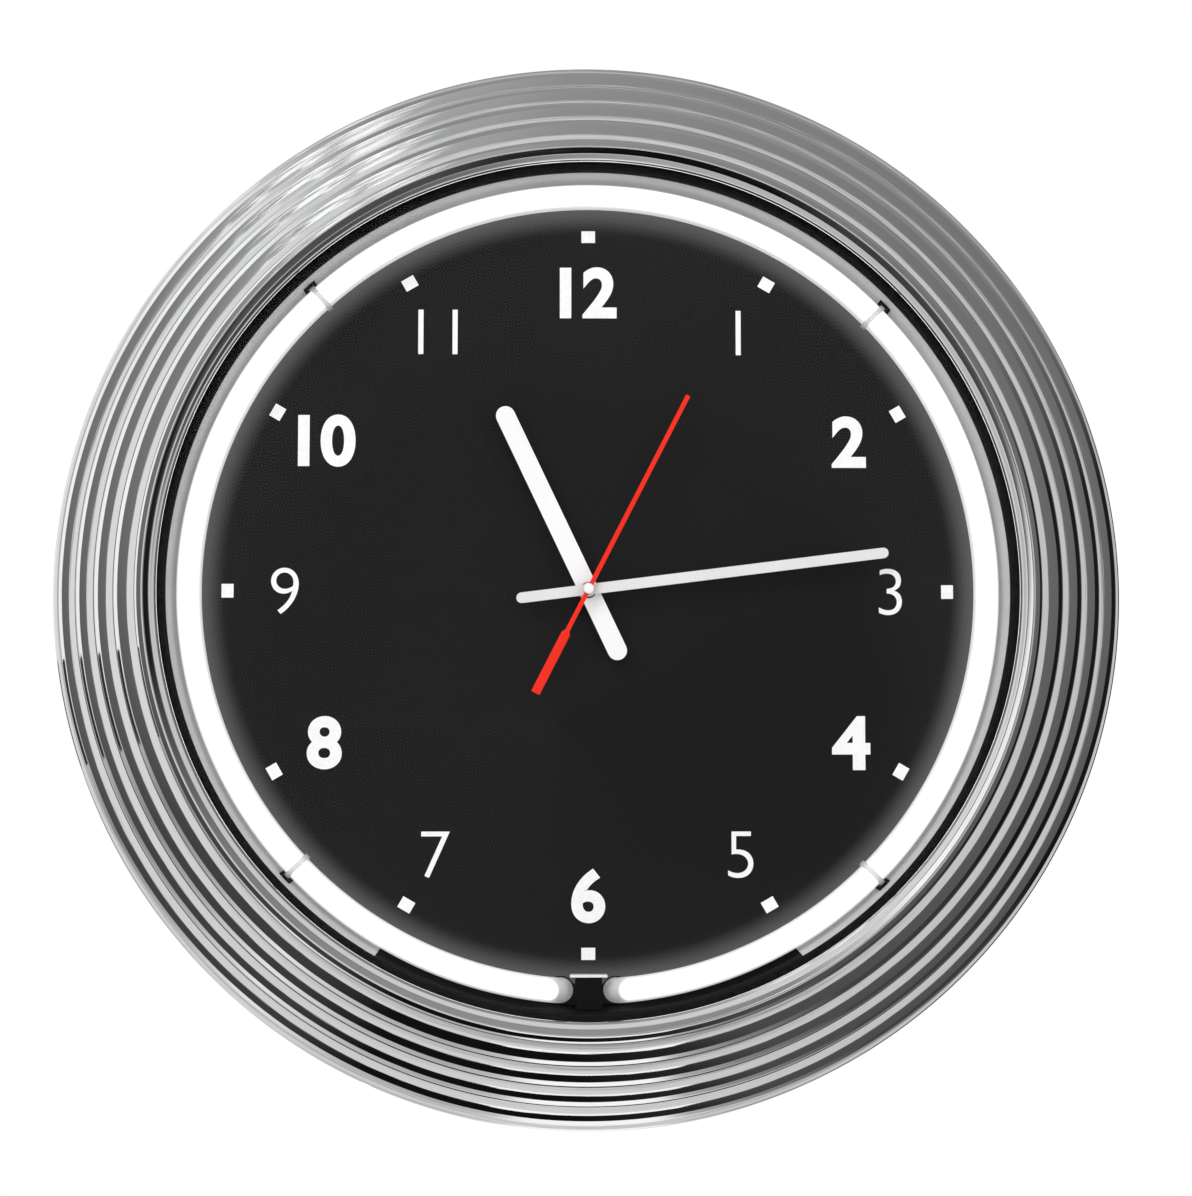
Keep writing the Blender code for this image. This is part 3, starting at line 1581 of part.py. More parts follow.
def make_coil(left, right, stator_front):
    core_low = stator_front + GAP
    core_high = core_low + COIL_CORE_THICK
    half = STATOR_LEG / 2
    core = block(left, coil_y - half, core_low, right, coil_y + half, core_high)
    copper = lambda n: material(n, (0.72, 0.33, 0.14), 0.35, metallic=0.8)
    coil = piece("drive_coil", core, copper)
    middle = (core_low + core_high) / 2
    inner = STATOR_LEG + GAP * 2
    x0, x1 = left + inner, right - inner
    flange = COIL_FLANGE_THICK
    profile = [
        (0, x0),
        (COIL_FLANGE_RADIUS, x0),
        (COIL_FLANGE_RADIUS, x0 + flange),
        (COIL_RADIUS, x0 + flange),
        (COIL_RADIUS, x1 - flange),
        (COIL_FLANGE_RADIUS, x1 - flange),
        (COIL_FLANGE_RADIUS, x1),
        (0, x1),
    ]
    drum = moved(turned(profile, SMALL_STEPS), Matrix.Rotation(TURN / 4, 4, "Y"))
    join(coil, moved(drum, Matrix.Translation((0, coil_y, middle))))


def make_board():
    left, low, right, top = board_edges()
    back = contact_low() + CONTACT_WIDTH / 2
    green = lambda n: material(n, (0.02, 0.16, 0.07), 0.45)
    board = block(left, low, back, right, top, back + BOARD_THICK)
    board = piece("circuit_board", board, green)
    front = back + BOARD_THICK
    middle = ((left + right) / 2, (low + top) / 2)
    join(board, rod(CHIP_RADIUS, front - BITE / 2, front + CHIP_HEIGHT, SMALL_STEPS, middle))


def geared(name, place, wheel, pinion, arbor, finish):
    """A wheel, its pinion and its arbor, joined into one piece on its own axis."""
    made = piece(name, wheel, finish, at(place))
    return join(made, *[shape for shape in (pinion, arbor) if shape])


def make_train(planes, spots, inside_back):
    """Rotor to second wheel, and second wheel to centre wheel."""
    thick, over = WHEEL_THICK, PINION_OVERLAP
    pivot = inside_back + GAP
    plate_front = planes["middle"] + PLATE_THICK
    third_z, second_z, centre_z = planes["third"], planes["second"], planes["centre"]
    centre, third, intermediate, rotor = (
        spots[n] for n in ("centre", "third", "intermediate", "rotor")
    )
    arbor_top = plate_front + GAP

    teeth = tooth_points(SECOND_TEETH, DRIVE_MODULE, 0)
    wheel = plate(teeth, second_z, second_z + thick)
    leaves = plate(
        tooth_points(SECOND_LEAVES, THIRD_MODULE, 0), third_z - over, second_z + over
    )
    hand_front = second_hand_back + HAND_THICK
    arbor = rod(SECOND_ARBOR_RADIUS, pivot, hand_front, TINY_STEPS)
    geared("second_wheel", centre, wheel, leaves, arbor, brass)

    phase = mesh_phase(THIRD_TEETH, third, SECOND_LEAVES, centre, 0)
    teeth = tooth_points(THIRD_TEETH, THIRD_MODULE, phase)
    wheel = plate(teeth, third_z, third_z + thick)
    module = third_reach() * 2 / (THIRD_LEAVES + CENTRE_TEETH)
    leaves = plate(
        tooth_points(THIRD_LEAVES, module, 0), centre_z - over, centre_z + thick + over
    )
    arbor = rod(ARBOR_RADIUS, pivot, arbor_top, TINY_STEPS)
    geared("third_wheel", third, wheel, leaves, arbor, brass)

    phase = mesh_phase(CENTRE_TEETH, centre, THIRD_LEAVES, third, 0)
    teeth = tooth_points(CENTRE_TEETH, module, phase)
    bore = minute_tube_radius + GAP
    seat = circle(bore + COLLET_WALL / 2, SMALL_STEPS)
    wheel = plate(teeth, centre_z, centre_z + thick, [seat])
    low, high = centre_z - over, centre_z + thick + over / 2
    hub = sleeve(bore, bore + COLLET_WALL, low, high, SMALL_STEPS)
    geared("centre_wheel", centre, wheel, hub, None, brass)

    phase = mesh_phase(INTERMEDIATE_LEAVES, intermediate, SECOND_TEETH, centre, 0)
    leaves = plate(
        tooth_points(INTERMEDIATE_LEAVES, DRIVE_MODULE, phase),
        third_z - over / 2,
        second_z + thick + over,
    )
    teeth = tooth_points(INTERMEDIATE_TEETH, DRIVE_MODULE, 0)
    wheel = plate(teeth, third_z, third_z + thick)
    arbor = rod(ARBOR_RADIUS, pivot, arbor_top, TINY_STEPS)
    geared("intermediate_wheel", intermediate, wheel, leaves, arbor, white_plastic)

    phase = mesh_phase(ROTOR_TEETH, rotor, INTERMEDIATE_TEETH, intermediate, 0)
    teeth = tooth_points(ROTOR_TEETH, DRIVE_MODULE, phase)
    leaves = plate(teeth, third_z - over, second_z)
    magnet_low = second_z + (STATOR_THICK - MAGNET_HEIGHT) / 2
    magnet = rod(MAGNET_RADIUS, magnet_low, magnet_low + MAGNET_HEIGHT, SMALL_STEPS)
    arbor = rod(ARBOR_RADIUS, pivot, arbor_top, TINY_STEPS)
    geared("rotor", rotor, magnet, leaves, arbor, steel)


def third_reach():
    return wheel_distance(SECOND_LEAVES, THIRD_TEETH, THIRD_MODULE)


def make_motion_work(planes, spots, inside_front):
    """Minute tube, motion wheel, hour wheel and the setting knob that turns them."""
    thick, over = WHEEL_THICK, PINION_OVERLAP
    hour_z, motion_z = planes["hour"], planes["motion"]
    centre, motion, knob = (spots[n] for n in ("centre", "motion", "knob"))

    tube_back = planes["centre"] - over - GAP
    tube_top = minute_hand_back + HAND_THICK
    tube = sleeve(minute_tube_bore, minute_tube_radius, tube_back, tube_top, SMALL_STEPS)
    minute = piece("minute_tube", tube, brass, at(centre))
    cannon = plate(
        tooth_points(CANNON_LEAVES, MOTION_MODULE, 0),
        motion_z - over / 2,
        motion_z + thick + over,
        [circle(minute_tube_bore + BITE / 2, SMALL_STEPS)],
    )
    join(minute, cannon)

    phase = mesh_phase(MOTION_TEETH, motion, CANNON_LEAVES, centre, 0)
    bore = circle(motion_pin_radius() + PIVOT_PLAY, TINY_STEPS)
    teeth = tooth_points(MOTION_TEETH, MOTION_MODULE, phase)
    wheel = plate(teeth, motion_z, motion_z + thick, [bore])
    leaves = plate(
        tooth_points(MOTION_LEAVES, MOTION_MODULE, 0),
        motion_z + thick / 2,
        hour_z + thick + GAP,
        [bore],
    )
    geared("motion_wheel", motion, wheel, leaves, None, white_plastic)

    hour_phase = mesh_phase(HOUR_TEETH, centre, MOTION_LEAVES, motion, 0)
    tube = sleeve(
        hour_tube_bore, hour_tube_radius, hour_z, hour_hand_back + HAND_THICK, SMALL_STEPS
    )
    wheel = plate(
        tooth_points(HOUR_TEETH, MOTION_MODULE, hour_phase),
        hour_z,
        hour_z + thick,
        [circle(hour_tube_bore + BITE / 2, SMALL_STEPS)],
    )
    geared("hour_wheel", centre, wheel, tube, None, white_plastic)

    knob_phase = mesh_phase(KNOB_LEAVES, knob, MOTION_TEETH, motion, phase)
    leaves = plate(
        tooth_points(KNOB_LEAVES, MOTION_MODULE, knob_phase),
        motion_z - over / 2,
        motion_z + thick + over,
    )
    low = case_back - GAP - KNOB_HEIGHT
    shaft = rod(KNOB_SHAFT_RADIUS, low + BITE, motion_z + thick, TINY_STEPS)
    grip = []
    for k in range(KNOB_RIDGES * 2):
        radius = KNOB_RADIUS * (1 if k % 2 else KNOB_VALLEY_SHARE)
        a = TURN * k / KNOB_RIDGES / 2
        grip.append((radius * math.cos(a), radius * math.sin(a)))
    geared("set_knob", knob, plate(grip, low, low + KNOB_HEIGHT), leaves, shaft, black_plastic)


def make_shaft_fixings():
    """Washer and nut on the bushing, in front of the dial."""
    bore = bushing_radius + GAP
    low = dial_front + GAP
    high = low + WASHER_THICK
    piece("shaft_washer", sleeve(bore, washer_radius, low, high, SMALL_STEPS), steel)
    nut_low = high + GAP
    nut = plate(
        circle(nut_radius, 6), nut_low, nut_low + NUT_THICK, [circle(bore, SMALL_STEPS)]
    )
    piece("shaft_nut", nut, brass)


def hand_bar(length, tail, width, steps=5):
    """A bar with round ends, pointing to 12, as outline points."""
    half = width / 2
    top, bottom = length - half, -tail + half
    points = []
    for k in range(steps + 1):
        a = TURN / 2 * k / steps
        points.append((half * math.cos(a), top + half * math.sin(a)))
    for k in range(steps + 1):
        a = TURN / 2 + TURN / 2 * k / steps
        points.append((half * math.cos(a), bottom + half * math.sin(a)))
    return points


def make_hand(name, outline, shaft_radius, back, angle, finish):
    """A flat hand with a collet that sits on its shaft."""
    bore = shaft_radius + GAP
    hub = bore + COLLET_WALL
    turn = Matrix.Rotation(-angle, 4, "Z")
    hole = circle(bore, SMALL_STEPS)
    blade = piece(name, plate(outline, back, back + HAND_THICK, [hole]), finish, turn)
    collet = sleeve(bore, hub, back - COLLET_HEIGHT, back + HAND_THICK, SMALL_STEPS)
    return join(blade, collet)


def make_hands():
    hour = hand_bar(HOUR_LENGTH, HOUR_TAIL, HOUR_WIDTH)
    make_hand("hour_hand", hour, hour_tube_radius, hour_hand_back, HOUR_ANGLE, white_plastic)
    minute = hand_bar(MINUTE_LENGTH, MINUTE_TAIL, MINUTE_WIDTH)
    make_hand(
        "minute_hand", minute, minute_tube_radius, minute_hand_back, MINUTE_ANGLE, white_plastic
    )
    thin, thick = SECOND_WIDTH / 2, SECOND_TAIL_WIDTH / 2
    second = [
        (thin, SECOND_LENGTH),
        (-thin, SECOND_LENGTH),
        (-thin, -SECOND_TAIL_START),
        (-thick, -SECOND_TAIL_START),
        (-thick, -SECOND_TAIL),
        (thick, -SECOND_TAIL),
        (thick, -SECOND_TAIL_START),
        (thin, -SECOND_TAIL_START),
    ]
    red = lambda n: material(n, (0.92, 0.05, 0.01), 0.4)
    arbor = SECOND_ARBOR_RADIUS
    make_hand("second_hand", second, arbor, second_hand_back, SECOND_ANGLE, red)
    cap_back = second_hand_back + HAND_THICK + GAP
    edge = CAP_HEIGHT / 3
    cap = turned(
        [
            (0, cap_back),
            (CAP_RADIUS, cap_back),
            (CAP_RADIUS, cap_back + CAP_HEIGHT - edge),
            (CAP_RADIUS - edge, cap_back + CAP_HEIGHT),
            (0, cap_back + CAP_HEIGHT),
        ],
        SMALL_STEPS,
    )
    piece("second_hand_cap", cap, white_plastic)


def main():
    clear_scene()
    set_axes()
    make_ring()
    make_grommet()
    make_glass_and_gasket()
    make_reflector()
    make_cover()
    make_chassis()
    make_dial()
    make_tube()
    make_supports()
    make_boots()
    make_transformer()
    make_leads()
    make_pan()
    make_hanger()
    make_ring_screws()
    make_inlet()
    make_switch()
    make_supply_leads()
    make_movement()
    make_hands()


main()
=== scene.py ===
"""A round wall clock lit by a ring of neon tube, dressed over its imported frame.

Places on the clock are given as a distance from its middle, degrees clockwise from 12, and a
depth, which is how far a point stands out from the wall. All lengths are in metres.
"""

import json
import math

import bpy
from mathutils import Matrix, Vector


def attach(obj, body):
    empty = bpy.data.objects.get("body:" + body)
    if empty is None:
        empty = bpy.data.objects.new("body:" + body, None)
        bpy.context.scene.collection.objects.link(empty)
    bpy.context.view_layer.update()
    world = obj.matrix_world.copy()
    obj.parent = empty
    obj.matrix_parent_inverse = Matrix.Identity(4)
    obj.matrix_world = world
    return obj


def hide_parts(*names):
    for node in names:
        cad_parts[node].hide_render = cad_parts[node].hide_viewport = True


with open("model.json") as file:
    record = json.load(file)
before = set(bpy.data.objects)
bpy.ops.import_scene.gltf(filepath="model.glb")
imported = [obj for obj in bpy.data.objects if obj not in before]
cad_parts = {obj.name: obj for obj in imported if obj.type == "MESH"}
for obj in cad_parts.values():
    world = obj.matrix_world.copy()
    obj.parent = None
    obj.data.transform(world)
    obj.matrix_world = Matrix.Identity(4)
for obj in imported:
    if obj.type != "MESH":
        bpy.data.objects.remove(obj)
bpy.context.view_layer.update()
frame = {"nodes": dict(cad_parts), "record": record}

MIDDLE = Vector((0.0, 0.0, -0.128))
FACING = Vector((0.0, -1.0, 0.0))
PLAY = 0.0003
SAME = 0.000002

# Chromed ring: its rim, the valleys between its ribs, and its lip
RIM_RADIUS = 0.2150
RIM_BACK = 0.0330
VALLEYS = (
    (0.2108, 0.0540),
    (0.2028, 0.0613),
    (0.1947, 0.0682),
    (0.1863, 0.0736),
    (0.1775, 0.0776),
)
CREST = (0.1742, 0.0797)

# A rib has a flat land on top and starts a few degrees up its quarter oval
LAND = 0.0019
RIB_FOOT = 2
CALM_RADIUS = 0.1790
# The grooves get painted shade only in front of this depth.
GROOVE_SHADE_DEPTH = 0.0560
RING_WALL = 0.0025
NOTCH_ANGLE = 204.3
SCREW_CIRCLE = 0.1900
SCREW_ANGLES = (45, 135, 225, 315)

# Back of the clock
PILLAR_CIRCLE = 0.1200
HANGER_RIVETS = (0.1025, 0.1415)
HANGER_SIDE = 0.0185
KEYHOLE_LOW = 0.1160
KEYHOLE_HIGH = 0.1280
INLET_FACE = 0.178773
INLET_DEPTH = 0.0375
SWITCH_ANGLE = 155.7
SWITCH_FACE = 0.17818
SWITCH_DEPTH = 0.0220

# Dial, tube and what surrounds them
DIAL_RADIUS = 0.1555
DIAL_BACK = 0.0505
DIAL_FRONT = 0.0520
DIAL_BORE = 0.0042
PRINT = 0.00006
NUMERAL_CIRCLE = 0.1210
NUMERAL_SIZE = 0.0275
HEAVY_OFFSET = 0.00095
LIGHT_OFFSET = -0.00032
TUBE_CIRCLE = 0.1581
TUBE_RADIUS = 0.0050
TUBE_DEPTH = 0.0605
TUBE_BEND = 0.0090
TUBE_FOOT = 0.0220
TUBE_TURN_AWAY = 7.215
TUBE_LEG_ASIDE = 0.01093
TUBE_LEG_UP = -0.15798
LIT_END = 0.0160
WALL_FOOT = 0.0468
WALL_TOP = 0.0673
WALL_FOOT_RADIUS = 0.1611
WALL_TOP_RADIUS = 0.1664
FLANGE_RADIUS = 0.1721
SUPPORT_ANGLES = (46.1, 135.1, 226.3, 317.4)
SUPPORT_WIDTH = 0.0052

# Hands: a white bar's length, tail and width, then angles at rest, depths of blades and bores
HOUR_BAR = (0.0812, 0.0305, 0.0077)
MINUTE_BAR = (0.1203, 0.0289, 0.0042)
HOUR_ANGLE = 334.6
MINUTE_ANGLE = 82.8
SECOND_ANGLE = 27.1
HOUR_DEPTH = 0.0574
MINUTE_DEPTH = 0.0600
SECOND_DEPTH = 0.0626
HOUR_BORE = 0.00325
MINUTE_BORE = 0.0019
SECOND_BORE = 0.0007
COLLET_WALL = 0.0009
BLADE = 0.0008

# The tent round the clock, and how far off the camera stands
TENT_RADIUS = 1.10
CAMERA_AWAY = 1.1355


# Working by hand


def spot(radius, angle, depth):
    """A place on the clock."""
    turn = math.radians(angle)
    x, z = radius * math.sin(turn), radius * math.cos(turn)
    return MIDDLE + Vector((x, -depth, z))


def put_down():
    """Leaves edit mode with nothing selected."""
    if bpy.context.mode != "OBJECT":
        bpy.ops.object.mode_set(mode="OBJECT")
    bpy.ops.object.select_all(action="DESELECT")


def take_up(piece):
    put_down()
    piece.select_set(True)
    bpy.context.view_layer.objects.active = piece
    return piece


def shape(piece):
    """Goes into edit mode with the whole piece selected."""
    take_up(piece)
    bpy.ops.object.mode_set(mode="EDIT")
    bpy.ops.mesh.select_mode(type="VERT")
    bpy.ops.mesh.select_all(action="SELECT")


def named(name):
    piece = bpy.context.object
    piece.name = name
    piece.data.name = name
    return piece


def trace(name, points, closed=True):
    """One point, drawn out along an outline."""
    put_down()
    bpy.ops.mesh.primitive_plane_add(size=0.001, location=points[0])
    piece = named(name)
    bpy.ops.object.mode_set(mode="EDIT")
    bpy.ops.mesh.select_all(action="SELECT")
    bpy.ops.mesh.merge(type="CENTER")
    here = points[0]
    for point in [*points[1:], points[0]] if closed else points[1:]:
        step = {"value": tuple(point - here)}
        bpy.ops.mesh.extrude_vertices_move(TRANSFORM_OT_translate=step)
        here = point
    bpy.ops.mesh.select_all(action="SELECT")
    bpy.ops.mesh.remove_doubles(threshold=SAME)
    return piece


def close_up():
    """Merges what meets, fills open ends and turns every face outwards."""
    bpy.ops.mesh.select_all(action="SELECT")
    bpy.ops.mesh.remove_doubles(threshold=SAME)
    bpy.ops.mesh.fill_holes(sides=0)
    bpy.ops.mesh.normals_make_consistent(inside=False)
    put_down()


def spin_section(name, section, steps, start=0.0, sweep=360.0, closed=True):
    """A (radius, depth) section spun clockwise round the clock's middle."""
    piece = trace(name, [spot(r, start, d) for r, d in section], closed)
    turn = math.radians(sweep)
    bpy.ops.mesh.spin(steps=steps, angle=turn, center=MIDDLE, axis=FACING)
    close_up()
    return piece


def turn_section(name, section, steps, centre, axis, out):
    """A (radius, height) section spun all round an axis through centre; out is where it starts."""
    points = [centre + out * r + axis * h for r, h in section]
    piece = trace(name, points, closed=False)
    bpy.ops.mesh.spin(steps=steps, angle=math.tau, center=centre, axis=axis)
    close_up()
    return piece


def slab(name, outline, back, front):
    """A flat outline of (x, up) points from the clock's middle, filled and drawn out."""
    piece = trace(name, [MIDDLE + Vector((x, -back, up)) for x, up in outline])
    bpy.ops.mesh.edge_face_add()
    out = {"value": (0.0, back - front, 0.0)}
    bpy.ops.mesh.extrude_region_move(TRANSFORM_OT_translate=out)
    close_up()
    return piece


def block(name, low, high):
    """A box between two (x, up, depth) corners."""
    a = MIDDLE + Vector((low[0], -low[2], low[1]))
    b = MIDDLE + Vector((high[0], -high[2], high[1]))
    size = Vector((abs(b.x - a.x), abs(b.y - a.y), abs(b.z - a.z)))
    put_down()
    bpy.ops.mesh.primitive_cube_add(size=1, location=(a + b) / 2, scale=size)
    return named(name)


def peg(name, radius, back, front, at=(0.0, 0.0), sides=24):
    """A round rod standing out from the wall."""
    place = MIDDLE + Vector((at[0], -(back + front) / 2, at[1]))
    put_down()
    bpy.ops.mesh.primitive_cylinder_add(
        radius=radius,
        depth=front - back,
        vertices=sides,
        location=place,
        rotation=(math.radians(90), 0, 0),
    )
    return named(name)


def worked(piece, tool, operation):
    change = piece.modifiers.new(operation.lower(), "BOOLEAN")
    change.operation = operation
    change.solver = "EXACT"
    change.object = tool
    take_up(piece)
    bpy.ops.object.modifier_apply(modifier=change.name)
    bpy.data.objects.remove(tool)
    return piece


def cut(piece, *tools):
    for tool in tools:
        worked(piece, tool, "DIFFERENCE")
    return piece


def join(piece, *tools):
    for tool in tools:
        worked(piece, tool, "UNION")
    return piece


def soften(piece, width, segments=2, limit=40):
    """Rounds the piece's sharp edges."""
    take_up(piece)
    bpy.ops.object.transform_apply(location=True, rotation=True, scale=True)
    edge = piece.modifiers.new("edge", "BEVEL")
    edge.width = width
    edge.segments = segments
    edge.limit_method = "ANGLE"
    edge.angle_limit = math.radians(limit)
    edge.use_clamp_overlap = True
    bpy.ops.object.modifier_apply(modifier=edge.name)
    return piece


def carry_round(piece, angle):
    """Takes a piece that was made at 12 o'clock to its own angle."""
    turn = Matrix.Rotation(math.radians(angle), 4, "Y")
    to_middle = Matrix.Translation(MIDDLE)
    piece.matrix_world = to_middle @ turn @ to_middle.inverted() @ piece.matrix_world
    take_up(piece)
    bpy.ops.object.transform_apply(location=True, rotation=True, scale=True)
    return piece


def another(piece, name):
    """A copy with its own mesh."""
    take_up(piece)
    bpy.ops.object.duplicate(linked=False)
    return named(name)


def finish_piece(piece, body, finish, slot, *stands_for, smooth=35, flats=False):
    """Sets the piece at the origin with its place in its mesh, and gives it its finish."""
    take_up(piece)
    bpy.ops.object.transform_apply(location=True, rotation=True, scale=True)
    bpy.ops.object.shade_smooth_by_angle(angle=math.radians(smooth))
    if flats:
        even = piece.modifiers.new("even", "WEIGHTED_NORMAL")
        even.keep_sharp = True
        bpy.ops.object.modifier_apply(modifier=even.name)
    piece.data.materials.clear()
    piece.data.materials.append(finish)
    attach(piece, body)
    if stands_for:
        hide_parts(*stands_for)
    return piece


# Effects used by the finishes


def new_effect(name, inputs, outputs):
    """A node group with named values in and masks, heights or colours out."""
    tree = bpy.data.node_groups.new(name, "ShaderNodeTree")
    for label, kind, value in inputs:
        socket = tree.interface.new_socket(label, in_out="INPUT", socket_type=kind)
        socket.default_value = value
    for label, kind in outputs:
        tree.interface.new_socket(label, in_out="OUTPUT", socket_type=kind)
    return tree, tree.nodes.new("NodeGroupInput"), tree.nodes.new("NodeGroupOutput")


def feed(tree, value, socket):
    """Sets a socket to a number, or links an output to it."""
    if isinstance(value, bpy.types.NodeSocket):
        tree.links.new(value, socket)
    else:
        socket.default_value = value


def sum_node(tree, operation, a, b=0.0, clamp=False):
    """A math node; a and b are numbers or outputs."""
    node = tree.nodes.new("ShaderNodeMath")
    node.operation = operation
    node.use_clamp = clamp
    for socket, value in zip(node.inputs, (a, b)):
        feed(tree, value, socket)
    return node.outputs[0]


def times(tree, a, b):
    return sum_node(tree, "MULTIPLY", a, b)


def spread(tree, value, low, high, out_low, out_high):
    """A smooth map from one range to another."""
    node = tree.nodes.new("ShaderNodeMapRange")
    node.interpolation_type = "SMOOTHSTEP"
    for label, number in (
        ("From Min", low),
        ("From Max", high),
        ("To Min", out_low),
        ("To Max", out_high),
    ):
        feed(tree, number, node.inputs[label])
    tree.links.new(value, node.inputs["Value"])
    return node.outputs["Result"]


def from_middle(tree):
    """The place seen from the clock's middle: x, y, z and how far it is from the clock's axis."""
    here = tree.nodes.new("ShaderNodeTexCoord")
    centred = tree.nodes.new("ShaderNodeMapping")
    centred.inputs["Location"].default_value = -MIDDLE
    tree.links.new(here.outputs["Object"], centred.inputs["Vector"])
    apart = tree.nodes.new("ShaderNodeSeparateXYZ")
    tree.links.new(centred.outputs["Vector"], apart.inputs["Vector"])
    x, y, z = apart.outputs
    squares = sum_node(tree, "ADD", times(tree, x, x), times(tree, z, z))
    return x, y, z, sum_node(tree, "SQRT", squares)


def noise(tree, vector, scale, detail=2.0, roughness=0.5):
    node = tree.nodes.new("ShaderNodeTexNoise")
    node.inputs["Detail"].default_value = detail
    node.inputs["Roughness"].default_value = roughness
    feed(tree, vector, node.inputs["Vector"])
    feed(tree, scale, node.inputs["Scale"])
    return node.outputs["Fac"]


def make_ring_streaks():
    """Streaks that run round the clock, long one way and fine the other, without a seam."""
    tree, given, made = new_effect(
        "ring_streaks",
        [
            ("Around", "NodeSocketFloat", 3.0),
            ("Across", "NodeSocketFloat", 900.0),
        ],
        [("Streaks", "NodeSocketFloat")],
    )
    x, y, z, far = from_middle(tree)
    around, across = given.outputs["Around"], given.outputs["Across"]
    side = times(tree, sum_node(tree, "DIVIDE", x, far), around)
    up = times(tree, sum_node(tree, "DIVIDE", z, far), around)
    out = times(tree, sum_node(tree, "SUBTRACT", far, y), across)
    whole = tree.nodes.new("ShaderNodeCombineXYZ")
    for value, socket in zip((side, up, out), whole.inputs):
        tree.links.new(value, socket)
    tree.links.new(noise(tree, whole.outputs["Vector"], 1.0, 3.0, 0.6), made.inputs["Streaks"])
    return tree


def make_grain():
    """Fine even grain, and a soft slow variation over it."""
    tree, given, made = new_effect(
        "grain",
        [("Fine", "NodeSocketFloat", 2500.0), ("Slow", "NodeSocketFloat", 25.0)],
        [("Grain", "NodeSocketFloat"), ("Mottle", "NodeSocketFloat")],
    )
    here = tree.nodes.new("ShaderNodeTexCoord").outputs["Object"]
    tree.links.new(noise(tree, here, given.outputs["Fine"], 2.0), made.inputs["Grain"])
    tree.links.new(noise(tree, here, given.outputs["Slow"], 4.0, 0.6), made.inputs["Mottle"])
    return tree


def make_dust():
    """Dust that settles where the surface looks up, in patches."""
    tree, given, made = new_effect(
        "dust",
        [("Amount", "NodeSocketFloat", 0.2), ("Patches", "NodeSocketFloat", 60.0)],
        [("Dust", "NodeSocketFloat")],
    )
    facing = tree.nodes.new("ShaderNodeNewGeometry")
    apart = tree.nodes.new("ShaderNodeSeparateXYZ")
    tree.links.new(facing.outputs["Normal"], apart.inputs["Vector"])
    up = spread(tree, apart.outputs["Z"], 0.35, 0.95, 0.0, 1.0)
    here = tree.nodes.new("ShaderNodeTexCoord").outputs["Object"]
    cloudy = noise(tree, here, given.outputs["Patches"], 5.0, 0.65)
    settled = times(tree, up, spread(tree, cloudy, 0.4, 0.7, 0.25, 1.0))
    settled = sum_node(tree, "MULTIPLY", settled, given.outputs["Amount"], True)
    tree.links.new(settled, made.inputs["Dust"])
    return tree


def make_wear():
    """Corners rubbed paler, from how sharply the surface turns."""
    tree, given, made = new_effect(
        "wear",
        [("Amount", "NodeSocketFloat", 0.5), ("Breaks", "NodeSocketFloat", 300.0)],
        [("Wear", "NodeSocketFloat")],
    )
    bend = tree.nodes.new("ShaderNodeNewGeometry")
    corner = spread(tree, bend.outputs["Pointiness"], 0.52, 0.60, 0.0, 1.0)
    here = tree.nodes.new("ShaderNodeTexCoord").outputs["Object"]
    breaks = noise(tree, here, given.outputs["Breaks"], 3.0)
    rubbed = times(tree, corner, spread(tree, breaks, 0.35, 0.65, 0.0, 1.0))
    rubbed = sum_node(tree, "MULTIPLY", rubbed, given.outputs["Amount"], True)
    tree.links.new(rubbed, made.inputs["Wear"])
    return tree


ring_streaks = make_ring_streaks()
grain = make_grain()
dust = make_dust()
wear = make_wear()


# Finishes


def new_finish(name, colour, roughness, metallic=0.0, specular=0.5):
    made = bpy.data.materials.new(name)
    made.use_nodes = True
    shader = made.node_tree.nodes["Principled BSDF"]
    shader.inputs["Base Color"].default_value = (*colour, 1.0)
    shader.inputs["Roughness"].default_value = roughness
    shader.inputs["Metallic"].default_value = metallic
    shader.inputs["Specular IOR Level"].default_value = specular
    return made, made.node_tree, shader


def effect(tree, group, **values):
    node = tree.nodes.new("ShaderNodeGroup")
    node.node_tree = group
    for label, value in values.items():
        node.inputs[label].default_value = value
    return node.outputs


def colours(tree, mask, one, other):
    """From one colour to another as the mask goes from 0 to 1."""
    node = tree.nodes.new("ShaderNodeMix")
    node.data_type = "RGBA"
    tree.links.new(mask, node.inputs["Factor"])
    for socket, value in ((node.inputs[6], one), (node.inputs[7], other)):
        feed(tree, (*value, 1.0) if isinstance(value, tuple) else value, socket)
    return node.outputs[2]


def sheen(tree, shader, mask, low, high):
    """Roughness that goes from low to high with the mask."""
    tree.links.new(spread(tree, mask, 0.3, 0.7, low, high), shader.inputs["Roughness"])


def relief(tree, shader, height, distance, strength=1.0):
    bump = tree.nodes.new("ShaderNodeBump")
    bump.inputs["Strength"].default_value = strength
    bump.inputs["Distance"].default_value = distance
    tree.links.new(height, bump.inputs["Height"])
    tree.links.new(bump.outputs["Normal"], shader.inputs["Normal"])


